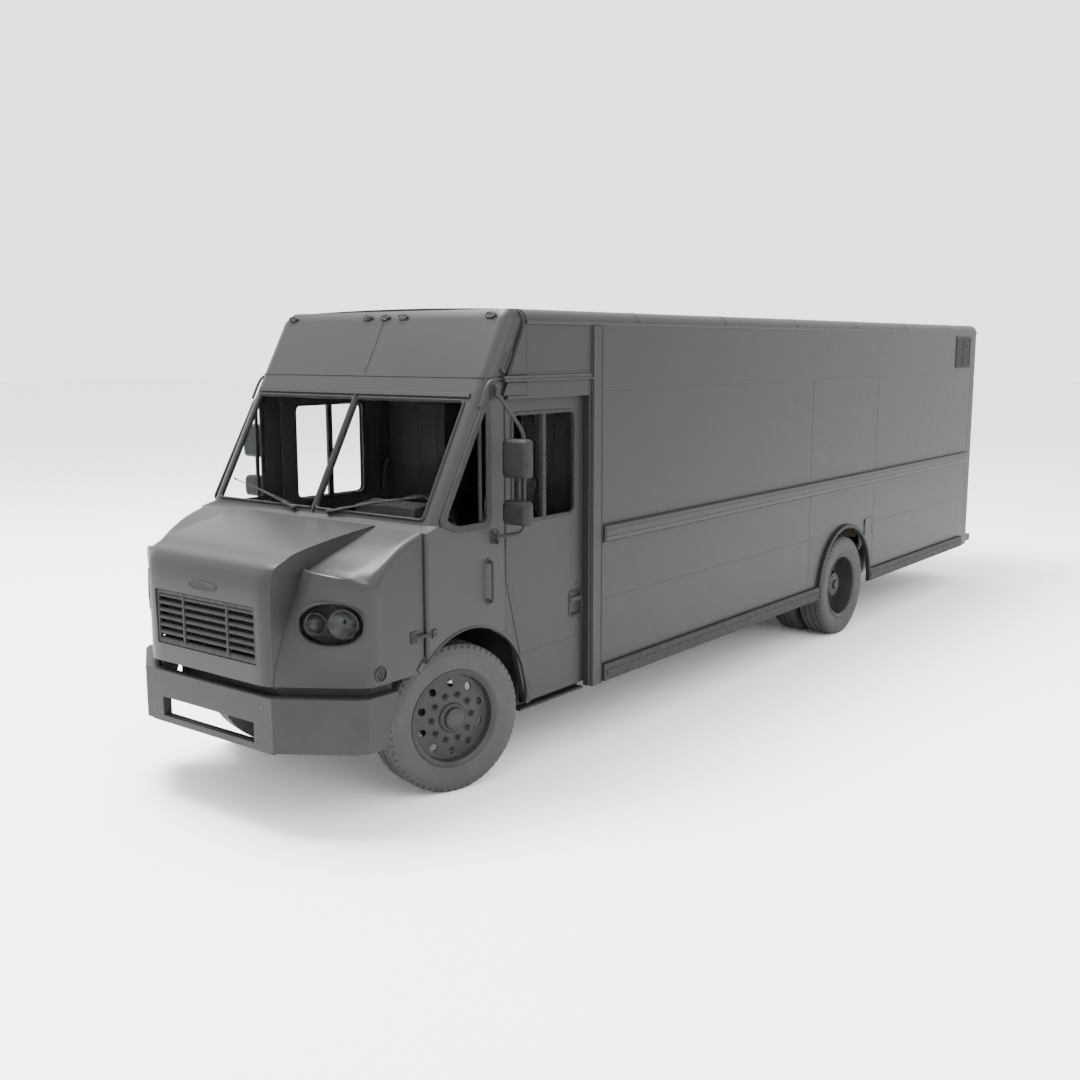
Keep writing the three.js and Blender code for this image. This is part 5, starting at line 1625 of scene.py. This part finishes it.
def cab_doors():
    for name, side in SIDES:
        low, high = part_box(f"cab_door_{name}")
        face = 1.003
        body = f"cab_door_{name}"
        leaf = carved(cad_copy(f"cab_door_{name}"), [sided(tool, side) for tool in window_cutters()])
        leaf = eased(leaf, 0.003, 2, 40)
        put(f"cab_door_{name}_piece", leaf, body, "body_paint", [f"cab_door_{name}"])
        outer = rounded((-3.478, -2.805), (1.610, 2.309), 0.062, 8)
        inner = rounded((-3.454, -2.829), (1.634, 2.285), 0.042, 8)
        rubber = [sheet([outer, inner], "X", (face - 0.006, face + 0.006), 0.0045, 2)]
        rubber.append(block((face - 0.012, face + 0.004), (-3.162, -3.128), (1.630, 2.290), 0.004, 3))
        put(f"door_window_seals_{name}", sided(merged(rubber), side), body, "seal_rubber")
        fixed = sheet(
            [[
                (-3.168, 1.628), (-3.168, 2.291), *arc(-3.414, 2.245, 0.046, 90, 180, 6),
                *arc(-3.414, 1.674, 0.046, 180, 270, 6)
            ]],
            "X", (face - 0.017, face - 0.012), 0.001
        )
        put(f"door_fixed_glass_{name}", sided(fixed, side), body, "glass")
        pane_low, pane_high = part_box(f"door_pane_{name}")
        pane = block(
            (0.9685, 0.9735), (pane_low[1] + 0.001, pane_high[1] - 0.001),
            (pane_low[2] + 0.001, pane_high[2] - 0.001), 0.001
        )
        put(
            f"door_pane_{name}_piece", sided(pane, side), f"door_pane_{name}", "glass",
            [f"door_pane_{name}"]
        )
        pull = block((0.960, 0.969), (pane_high[1] - 0.022, pane_high[1] - 0.012), (1.88, 1.98), 0.003)
        put(f"door_pane_pull_{name}", sided(pull, side), f"door_pane_{name}", "cab_plastic")
        cup_rings = []
        for grow, depth in ((0.012, 0.0), (0.010, 0.004), (0.0, 0.004), (-0.006, -0.004), (-0.012, -0.012)):
            cup_rings.append([
                (face + depth, y, z) for y,
                z in rounded(
                    (-2.872 - grow, -2.712 + grow), (0.930 - grow, 1.094 + grow), 0.03 + grow * 0.5, 6
                )
            ])
        cup = loft(cup_rings, caps=False)
        cup = modified(cup, ("SOLIDIFY", {"thickness": 0.0015, "offset": 0}))
        lever = block((face - 0.010, face + 0.002), (-2.858, -2.730), (1.018, 1.052), 0.005, 3)
        lock = turned(
            [(0.001, 0), (0.012, 0), (0.012, 0.005), (0.009, 0.007), (0.001, 0.006)],
            (face - 0.0005, -2.79, 1.135), "X", 24
        )
        put(f"door_handle_cup_{name}", sided(cup, side), body, "dark_trim")
        put(f"door_handle_lever_{name}", sided(merged([lever, lock]), side), body, "chassis_steel")
        weather = [
            block((face - 0.024, face - 0.006), (high[1] - 0.0035, high[1] + 0.003), (0.46, 2.38), 0.003),
            block((face - 0.024, face - 0.006), (low[1] - 0.003, low[1] + 0.0035), (1.29, 2.38), 0.003),
        ]
        put(f"door_weather_strips_{name}", sided(merged(weather), side), body, "seal_rubber")
        kick = sheet(
            [[(-3.28, 0.50), (-2.74, 0.50), (-2.74, 0.78), (-3.42, 0.78)]], "X",
            (face + 0.0002, face + 0.0022), 0.0008
        )
        screws = [
            dome((face + 0.002, y, z), (1, 0, 0), 0.006, 0.002, 10)
            for y in (-3.22, -3.06, -2.9, -2.77) for z in (0.52, 0.76)
        ]
        put(f"door_kick_plate_{name}", sided(merged([kick, *screws]), side), body, "body_paint")
        rail = [
            block((0.948, 0.966), (-3.55, -2.72), (2.40, 2.43), 0.003),
        ]
        put(f"door_top_rail_{name}", sided(merged(rail), side), "chassis", "chassis_steel")
        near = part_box("cab_door_left")[0]
        jamb = block(
            (near[0] - 0.030, near[0] - 0.012), (near[1] - 0.06, near[1] + 0.05), (1.27, 2.39), 0.004
        )
        put(f"door_jamb_seal_{name}", sided(jamb, side), "chassis", "seal_rubber")


# ------------------------------------------------------------------ mirrors and wipers
def mirrors():
    pivot = (1.056, -3.668)
    for name, side in SIDES:
        path = [(*pivot, 2.431), (1.200, -3.596, 2.198), (1.200, -3.596, 1.600), (*pivot, 1.569)]
        corners = softened_path(path, 0.05)
        arm = [tube(corners, 0.0118, False, 6)]
        for z in (2.431, 1.569):
            arm.append(turned(
                [(0.001, -0.022), (0.013, -0.022), (0.013, 0.022), (0.001, 0.022)], (*pivot, z), "Z", 24
            ))
        put(
            f"mirror_arm_{name}_piece", sided(merged(arm), side), f"mirror_arm_{name}", "chassis_steel",
            [f"mirror_arm_{name}"]
        )
        pads = []
        for z, lift in ((2.431, 0.034), (1.569, -0.034)):
            for k in (-0.028, 0.028):
                pads.append(bolt((1.039, pivot[1] - 0.020, z + k), (1, 0, 0), 0.007, 0.005))
                pads.append(bolt((1.039, pivot[1] + 0.020, z + k), (1, 0, 0), 0.007, 0.005))
            pads.append(dome(
                (*pivot, z + lift + (0.008 if lift > 0 else -0.008)), (0, 0, 1 if lift > 0 else -1), 0.010,
                0.006
            ))
        put(f"mirror_bracket_bolts_{name}", sided(merged(pads), side), "chassis", "chassis_steel")
        heads, glasses = [], []
        for low, high in ((1.931, 2.165), (1.650, 1.800)):
            shell = shell_head((1.105, 1.295), (-3.701, -3.626), (low, high))
            heads.append(shell)
            rim = sheet(
                [
                    rounded((1.113, 1.287), (low + 0.008, high - 0.008), 0.022, 6),
                    rounded((1.121, 1.279), (low + 0.016, high - 0.016), 0.016, 6)
                ],
                "Y", (-3.628, -3.620), 0.002, 2
            )
            heads.append(rim)
            glasses.append(sheet(
                [rounded((1.117, 1.283), (low + 0.012, high - 0.012), 0.019, 6)], "Y", (-3.630, -3.6245),
                0.001
            ))
        for z in (2.050, 1.725):
            heads.append(block((1.176, 1.224), (-3.634, -3.574), (z - 0.026, z + 0.026), 0.008, 3))
            heads.append(bolt((1.224, -3.588, z + 0.012), (1, 0, 0), 0.006, 0.005))
            heads.append(bolt((1.224, -3.588, z - 0.012), (1, 0, 0), 0.006, 0.005))
        heads.append(block((1.190, 1.210), (-3.658, -3.634), (1.79, 1.94), 0.005))
        put(
            f"mirror_{name}_piece", sided(merged(heads), side), f"mirror_{name}", "cab_plastic",
            [f"mirror_{name}"]
        )
        put(f"mirror_glasses_{name}", sided(merged(glasses), side), f"mirror_{name}", "mirror_glass")


def shell_head(x, y, z):
    """A mirror housing: a rounded back that swells out from a flat rear edge."""
    rings = []
    depth = y[1] - y[0]
    for share, shrink in (
        (0.0, 0.030), (0.06, 0.016), (0.16, 0.007), (0.34, 0.002), (0.6, 0.0), (1.0, 0.002)
    ):
        yy = y[0] + depth * share
        rings.append([
            (a, yy, b) for a,
            b in rounded((x[0] + shrink, x[1] - shrink), (z[0] + shrink, z[1] - shrink), 0.028, 6)
        ])
    return loft(rings)


def softened_path(points, r, steps=6):
    """An open path with its inner corners rounded."""
    made = [tuple(points[0])]
    for before, here, after in zip(points, points[1:], points[2:]):
        before, here, after = Vector(before), Vector(here), Vector(after)
        start = here + (before - here).normalized() * r
        end = here + (after - here).normalized() * r
        for k in range(steps + 1):
            t = k / steps
            made.append(tuple(start * (1 - t) ** 2 + here * (2 * t * (1 - t)) + end * t**2))
    made.append(tuple(points[-1]))
    return made


def wipers():
    for name, side in SIDES:
        def at(x, z, lift):
            return Vector((x, front_y(z), z)) + SLOPE_NORMAL * lift

        pivot = at(0.161, 1.700, 0.020)
        knee = at(0.520, 1.775, 0.026)
        parts = [
            turned(
                [(0.001, -0.014), (0.016, -0.014), (0.016, 0.006), (0.010, 0.014), (0.001, 0.015)],
                (0, 0, 0), "Z", 24
            ),
        ]
        aim = SLOPE_NORMAL.to_track_quat("Z", "Y").to_matrix().to_4x4()
        parts[0].transform(Matrix.Translation(pivot) @ aim)
        middle = pivot.lerp(knee, 0.34)
        parts.append(flat_bar(pivot, middle, 0.017, 0.012))
        parts.append(flat_bar(middle, knee, 0.009, 0.006))
        start, end = at(0.215, 1.725, 0.012), at(0.850, 1.835, 0.012)
        parts.append(flat_bar(start, end, 0.006, 0.009))
        parts.append(flat_bar(
            start.lerp(end, 0.25) + SLOPE_NORMAL * 0.009, start.lerp(end, 0.75) + SLOPE_NORMAL * 0.009,
            0.010, 0.004
        ))
        for share in (0.04, 0.25, 0.48, 0.75, 0.96):
            place = start.lerp(end, share)
            parts.append(flat_bar(place - SLOPE_NORMAL * 0.003, place + SLOPE_NORMAL * 0.012, 0.012, 0.008))
        put(
            f"wiper_{name}_piece", sided(merged(parts), side), f"wiper_{name}", "wiper_black",
            [f"wiper_{name}"]
        )
        squeegee = flat_bar(start - SLOPE_NORMAL * 0.006, end - SLOPE_NORMAL * 0.006, 0.0025, 0.008)
        put(f"wiper_squeegee_{name}", sided(squeegee, side), f"wiper_{name}", "seal_rubber")
        cap = [turned([(0.001, 0), (0.026, 0), (0.024, 0.006), (0.001, 0.008)], (0, 0, 0), "Z", 24)]
        cap[0].transform(Matrix.Translation(at(0.161, 1.700, 0.0)) @ aim)
        put(f"wiper_spindle_{name}", sided(cap[0], side), "chassis", "seal_rubber")


def flat_bar(start, end, width, thick):
    """A bar of flat section between two points on the windscreen plane, thick along its normal."""
    run = Vector(end) - Vector(start)
    length = run.length
    mesh = block((-width / 2, width / 2), (-thick / 2, thick / 2), (0, length), min(width, thick) * 0.25)
    z_axis = run.normalized()
    y_axis = SLOPE_NORMAL if abs(z_axis.dot(SLOPE_NORMAL)) < 0.9 else Vector((1, 0, 0))
    x_axis = y_axis.cross(z_axis).normalized()
    y_axis = z_axis.cross(x_axis).normalized()
    basis = Matrix((x_axis, y_axis, z_axis)).transposed().to_4x4()
    mesh.transform(Matrix.Translation(start) @ basis)
    return mesh


# ------------------------------------------------------------------ driver's place
def dashboard():
    dash = eased(cad_copy("dashboard"), 0.012, 3, 30)
    put("dashboard_piece", dash, "chassis", "cab_plastic", ["dashboard"])
    parts, dials = [], []
    for x, r in ((0.30, 0.055), (0.43, 0.055), (0.56, 0.055)):
        centre = Vector((x, -3.786, 1.640))
        rim = turned(
            [
                (r - 0.004, -0.002), (r + 0.004, -0.002), (r + 0.004, 0.006), (r - 0.002, 0.008),
                (r - 0.004, 0.003)
            ],
            (0, 0, 0), "Z", 40, True
        )
        dial = turned(
            [(0.001, -0.002), (r - 0.003, -0.002), (r - 0.003, 0.001), (0.001, 0.001)], (0, 0, 0), "Z", 40
        )
        needle = block((-0.0015, 0.0015), (-0.01, r * 0.7), (0.002, 0.004), 0.0005)
        needle.transform(Matrix.Rotation(0.9 if x < 0.4 else -0.7, 4, "Z"))
        aim = Vector((0, 1, 0.16)).to_track_quat("Z", "Y").to_matrix().to_4x4()
        for mesh, group in ((rim, parts), (dial, dials), (needle, parts)):
            mesh.transform(Matrix.Translation(centre) @ aim)
            group.append(mesh)
    put("gauge_rims", merged(parts), "chassis", "reflector")
    put("gauge_faces", merged(dials), "chassis", "wiper_black")
    vents = []
    for x in (-0.75, -0.35, 0.05, 0.80):
        vents.append(sheet(
            [
                rounded((x - 0.07, x + 0.07), (1.46, 1.54), 0.01),
                rounded((x - 0.062, x + 0.062), (1.468, 1.532), 0.006)
            ],
            "Y", (-3.880, -3.862), 0.002
        ))
        for k in range(5):
            vents.append(block(
                (x - 0.062, x + 0.062), (-3.878, -3.866), (1.474 + k * 0.012, 1.477 + k * 0.012), 0.0008
            ))
    for k in range(6):
        vents.append(block((0.0 + k * 0.032, 0.02 + k * 0.032), (-3.872, -3.852), (1.405, 1.430), 0.003))
    put("dashboard_vents", merged(vents), "chassis", "wiper_black")
    for index, x in enumerate((0.38, 0.48)):
        stalk = tube(
            [(x, -3.66, 1.54), (x + (x - 0.43) * 2.4, -3.65, 1.56), (x + (x - 0.43) * 3.6, -3.63, 1.575)],
            0.006
        )
        put(f"column_stalk_{index + 1}", stalk, "chassis", "cab_plastic")


def steering_wheel():
    centre = Vector((0.430, -3.600, 1.570))
    axis = Vector((0, 0.8856, 0.4646)).normalized()
    aim = axis.to_track_quat("Z", "Y").to_matrix().to_4x4()
    place = Matrix.Translation(centre) @ aim
    bm = bmesh.new()
    steps, around = 72, 14
    rows = []
    for i in range(steps):
        a = 2 * math.pi * i / steps
        swell = 0.0150 - 0.0012 * (1 - abs(math.sin(a * 12)))
        row = []
        for k in range(around):
            b = 2 * math.pi * k / around
            r = 0.225 + swell * math.cos(b)
            row.append(bm.verts.new((r * math.cos(a), r * math.sin(a), swell * math.sin(b))))
        rows.append(row)
    for i in range(steps):
        low, high = rows[i], rows[(i + 1) % steps]
        for k in range(around):
            j = (k + 1) % around
            bm.faces.new((low[k], high[k], high[j], low[j]))
    rim = mesh_of(bm)
    parts = [
        rim,
        turned(
            [
                (0.001, -0.020), (0.040, -0.020), (0.052, -0.004), (0.052, 0.010), (0.044, 0.020),
                (0.020, 0.024), (0.001, 0.025)
            ],
            (0, 0, 0), "Z", 48
        )
    ]
    for degrees in (90, 210, 330):
        spoke = block((0.03, 0.215), (-0.016, 0.016), (-0.004, 0.006), 0.004, 3)
        spoke.transform(Matrix.Rotation(math.radians(degrees), 4, "Z"))
        parts.append(spoke)
    wheel = merged(parts)
    wheel.transform(place)
    put("steering_wheel_piece", wheel, "steering_wheel", "cab_plastic", ["steering_wheel"])


def pedals():
    for node in ("brake_pedal", "accelerator_pedal"):
        pedal = eased(cad_copy(node), 0.002, 2, 40)
        put(f"{node}_piece", pedal, node, "pedal_rubber", [node])
        low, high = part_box(node)
        ribs = []
        for i in range(6):
            rib = block((low[0] + 0.006, high[0] - 0.006), (-0.0085, -0.006), (-0.003, 0.003), 0.001)
            rib.transform(Matrix.Translation((0, 0, -0.022 + i * 0.009)))
            ribs.append(rib)
        grip = merged(ribs)
        place = Matrix.Translation((0, -3.992, 0.990)) @ Matrix.Rotation(-0.5, 4, "X")
        turn = Matrix.Rotation(math.pi, 4, "Z") @ Matrix.Translation((-(low[0] + high[0]), 0, 0))
        grip.transform(place @ turn)
        put(f"{node}_ribs", grip, node, "pedal_rubber")


SEAT_SWELL = 0.024
SEAT_VOXEL = 0.011
CLOTH_FRAMES = 20


def cushion(mesh, limit):
    """A sewn cushion: its cloth swells under pressure, with its movement capped."""
    mesh = modified(mesh, ("REMESH", {"mode": "VOXEL", "voxel_size": SEAT_VOXEL}))
    rest = [v.co.copy() for v in mesh.vertices]
    obj = scratch(mesh)
    cloth = obj.modifiers.new("cloth", "CLOTH")
    cloth.settings.use_pressure = True
    cloth.settings.uniform_pressure_force = 4
    cloth.settings.effector_weights.gravity = 0
    cloth.settings.quality = 4
    cloth.settings.mass = 0.3
    cloth.settings.tension_stiffness = 12
    cloth.settings.compression_stiffness = 12
    cloth.settings.bending_stiffness = 0.6
    cloth.collision_settings.use_collision = False
    cloth.point_cache.frame_start = 1
    cloth.point_cache.frame_end = CLOTH_FRAMES
    for number in range(1, CLOTH_FRAMES + 1):
        bpy.context.scene.frame_set(number)
    graph = bpy.context.evaluated_depsgraph_get()
    swollen = bpy.data.meshes.new_from_object(obj.evaluated_get(graph))
    bpy.data.objects.remove(obj)
    bpy.context.scene.frame_set(1)
    for vertex, home in zip(swollen.vertices, rest):
        move = vertex.co - home
        if move.length > limit:
            vertex.co = home + move.normalized() * limit
    return modified(
        swollen, ("SMOOTH", {"factor": 0.5, "iterations": 2}),
        ("SUBSURF", {"levels": 1, "render_levels": 1})
    )


def seat():
    low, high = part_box("seat_cushion")
    shrink = 0.018
    base = block(
        (low[0] + shrink, high[0] - shrink), (low[1] + shrink, high[1] - shrink),
        (low[2] + 0.012, high[2] - 0.026), 0.03, 4
    )
    soft = cushion(base, SEAT_SWELL)
    piece = put("seat_cushion_piece", soft, "driver_seat", "seat_cloth", ["seat_cushion"], 80, False)
    lean = Matrix.Translation((0, -2.910, 1.242)) @ Matrix.Rotation(math.radians(-12), 4, "X")
    back = block((0.205 + shrink, 0.685 - shrink), (-0.042, 0.034), (0.018, 0.622), 0.03, 4)
    soft = cushion(back, SEAT_SWELL)
    soft.transform(lean)
    piece = put("seat_back_piece", soft, "driver_seat", "seat_cloth", ["seat_back"], 80, False)
    seams = []
    ring = rounded((low[0] + 0.022, high[0] - 0.022), (low[1] + 0.022, high[1] - 0.022), 0.05, 8)
    seams.append(tube(
        [
            (x, y, low[2] + 0.058) for x,
            y in [(a + (a - 0.445) * 0.055, b + (b + 3.145) * 0.06) for a, b in ring]
        ],
        0.004, False, 3, True
    ))
    put("seat_cushion_piping", merged(seams), "driver_seat", "cab_plastic")
    shell = sheet([rounded((0.222, 0.668), (0.03, 0.60), 0.06, 6)], "Y", (0.052, 0.060), 0.003)
    shell.transform(lean)
    put("seat_back_shell", shell, "driver_seat", "cab_plastic")
    frame_parts = [block((0.225, 0.665), (-3.345, -2.935), (1.092, 1.111), 0.005)]
    for x in (0.25, 0.61):
        frame_parts.append(block((x, x + 0.03), (-3.34, -2.91), (1.0862, 1.093), 0.002))
        frame_parts.append(flat_link((x + 0.0, -2.95, 1.10), (x + 0.0, -2.885, 1.30)))
    put("seat_pan_and_slides", merged(frame_parts), "driver_seat", "chassis_steel")
    put(
        "seat_slide_lever",
        tube([(0.30, -3.33, 1.10), (0.30, -3.375, 1.098), (0.36, -3.385, 1.098)], 0.006), "driver_seat",
        "chassis_steel"
    )
    knob = dome((0.19, -3.2, 1.16), (-1, 0, 0), 0.012, 0.008)
    belt = [block((0.655, 0.690), (-2.95, -2.93), (1.2, 1.25), 0.005), knob]
    put("seat_belt_buckle", merged(belt), "driver_seat", "wiper_black")


def flat_link(a, b):
    run = Vector(b) - Vector(a)
    mesh = block((-0.004, 0.004), (-0.018, 0.018), (0, run.length), 0.002)
    mesh.transform(Matrix.Translation(a) @ run.to_track_quat("Z", "Y").to_matrix().to_4x4())
    return mesh


def interior():
    floor = eased(cad_copy("cab_floor"), 0.004, 2, 40)
    put("cab_floor_piece", floor, "chassis", "floor_plate", ["cab_floor"])
    tread = []
    for i in range(44):
        for k in range(30):
            x = -0.62 + i * 0.028
            y = -3.34 + k * 0.024
            if not (0.17 < x < 0.70 and y < -2.88):
                tread.append((x, y, 0.880))
    put("cab_floor_studs", stamped(tread, 0.005, 0.002, 6), "chassis", "floor_plate")
    for name, side in SIDES:
        grip = [(x * 0.03 + 0.70, -3.34 + k * 0.03, 0.440) for x in range(8) for k in range(20)]
        put(f"step_studs_{name}", sided(stamped(grip, 0.006, 0.003, 6), side), "chassis", "floor_plate")
        post = tube(
            [
                (0.93, -2.60, 1.05), (0.93, -2.64, 1.08), (0.93, -2.655, 1.2), (0.93, -2.655, 1.7),
                (0.93, -2.64, 1.82), (0.93, -2.60, 1.85)
            ],
            0.014
        )
        put(f"entry_rail_{name}", sided(post, side), "chassis", "chassis_steel")
    wall = eased(cad_copy("cab_bulkhead"), 0.003, 2, 40)
    put("cab_bulkhead_piece", wall, "chassis", "floor_plate", ["cab_bulkhead"])
    ribs = []
    for x in (-0.82, -0.64, -0.46, 0.46, 0.64, 0.82):
        ribs.append(block((x - 0.02, x + 0.02), (-2.588, -2.5815), (0.95, 2.72), 0.003))
    put("bulkhead_ribs", merged(ribs), "chassis", "floor_plate")
    deck = eased(cad_copy("cargo_floor"), 0.003, 2, 40)
    put("cargo_floor_piece", deck, "chassis", "floor_board", ["cargo_floor"])
    strips = []
    for i in range(-3, 4):
        x = i * 0.12
        strips.append(block((x - 0.008, x + 0.008), (-2.55, 4.76), (0.8795, 0.8825), 0.001))
    put("cargo_floor_strips", merged(strips), "chassis", "floor_plate")


# ------------------------------------------------------------------ chassis
def chassis():
    for node, material, width in (
        ("ladder_frame", "chassis_steel", 0.002),
        ("front_axle", "chassis_steel", 0.005),
        ("rear_axle", "chassis_steel", 0.003),
        ("engine", "cast_metal", 0.010),
        ("fuel_tank", "tank_alloy", 0.004),
    ):
        put(f"{node}_piece", eased(cad_copy(node), width, 2, 35), "chassis", material, [node])
    put(
        "drive_shaft_piece", eased(cad_copy("drive_shaft"), 0.003, 2, 50), "drive_shaft", "chassis_steel",
        ["drive_shaft"]
    )
    rivets = []
    for i in range(46):
        for z in (0.64, 0.76):
            for side in (1, -1):
                rivets.append(dome((side * 0.432, -4.7 + i * 0.205, z), (side, 0, 0), 0.011, 0.005, 8))
    put("frame_rivets", merged(rivets), "chassis", "chassis_steel")
    muffler = [
        turned(
            [(0.001, 0), (0.09, 0), (0.105, 0.012), (0.105, 0.78), (0.09, 0.80), (0.001, 0.80)],
            (-0.62, -1.30, 0.60), "Y", 40
        ),
        tube(
            [
                (-0.24, -3.88, 0.95), (-0.36, -3.70, 0.86), (-0.36, -3.3, 0.66), (-0.36, -2.7, 0.56),
                (-0.56, -2.0, 0.58), (-0.62, -1.7, 0.60), (-0.62, -1.28, 0.60)
            ],
            0.038
        ),
        tube(
            [
                (-0.62, -0.52, 0.60), (-0.62, -0.2, 0.60), (-0.62, 0.1, 0.56), (-0.80, 0.3, 0.52),
                (-0.98, 0.42, 0.50)
            ],
            0.038
        ),
    ]
    put("exhaust_system", merged(muffler), "chassis", "cast_metal")
    for name, side in SIDES:
        shocks = []
        for y, foot in ((-3.78, 0.50), (1.66, 0.50)):
            shocks.append(pin((side * 0.49, y, 0.74), (side * 0.49, y + 0.02, 0.60), 0.034, 24))
            shocks.append(pin((side * 0.49, y + 0.02, 0.61), (side * 0.49, y + 0.05, foot), 0.024, 24))
        put(f"shock_absorbers_{name}", merged(shocks), "chassis", "chassis_steel")
    flap = block((0.66, 0.96), (2.050, 2.058), (0.32, 0.86), 0.003)
    put("mud_flap_right", mirrored(flap), "chassis", "seal_rubber")
    battery = [block((-0.92, -0.50), (-2.48, -1.86), (0.47, 0.78), 0.015, 3)]
    for i in range(5):
        battery.append(block((-0.925, -0.918), (-2.42 + i * 0.12, -2.36 + i * 0.12), (0.52, 0.74), 0.003))
    put("battery_box", merged(battery), "chassis", "cab_plastic")
    lines = []
    for k in range(3):
        x = 0.405 - k * 0.012
        lines.append(tube(
            [(x, -4.6, 0.81 + k * 0.002), (x, -2.8, 0.812), (x, 0.6, 0.812), (x, 4.5, 0.812)], 0.005
        ))
    put("chassis_lines", merged(lines), "chassis", "seal_rubber")
    radiator = [block((-0.33, 0.33), (-4.47, -4.41), (0.82, 1.26), 0.006)]
    for i in range(30):
        radiator.append(block(
            (-0.31 + i * 0.0212, -0.304 + i * 0.0212), (-4.474, -4.468), (0.85, 1.23), 0.0005
        ))
    put("radiator", merged(radiator), "chassis", "cast_metal")


# ------------------------------------------------------------------ assembly
def build():
    make_camera()
    make_studio()
    hood()
    grille()
    for name, side in SIDES:
        headlight(name, side)
    bumpers()
    wheels()
    cab()
    windscreens()
    roof()
    body_sides()
    rear_end()
    cab_doors()
    mirrors()
    wipers()
    dashboard()
    steering_wheel()
    pedals()
    seat()
    interior()
    chassis()


build()
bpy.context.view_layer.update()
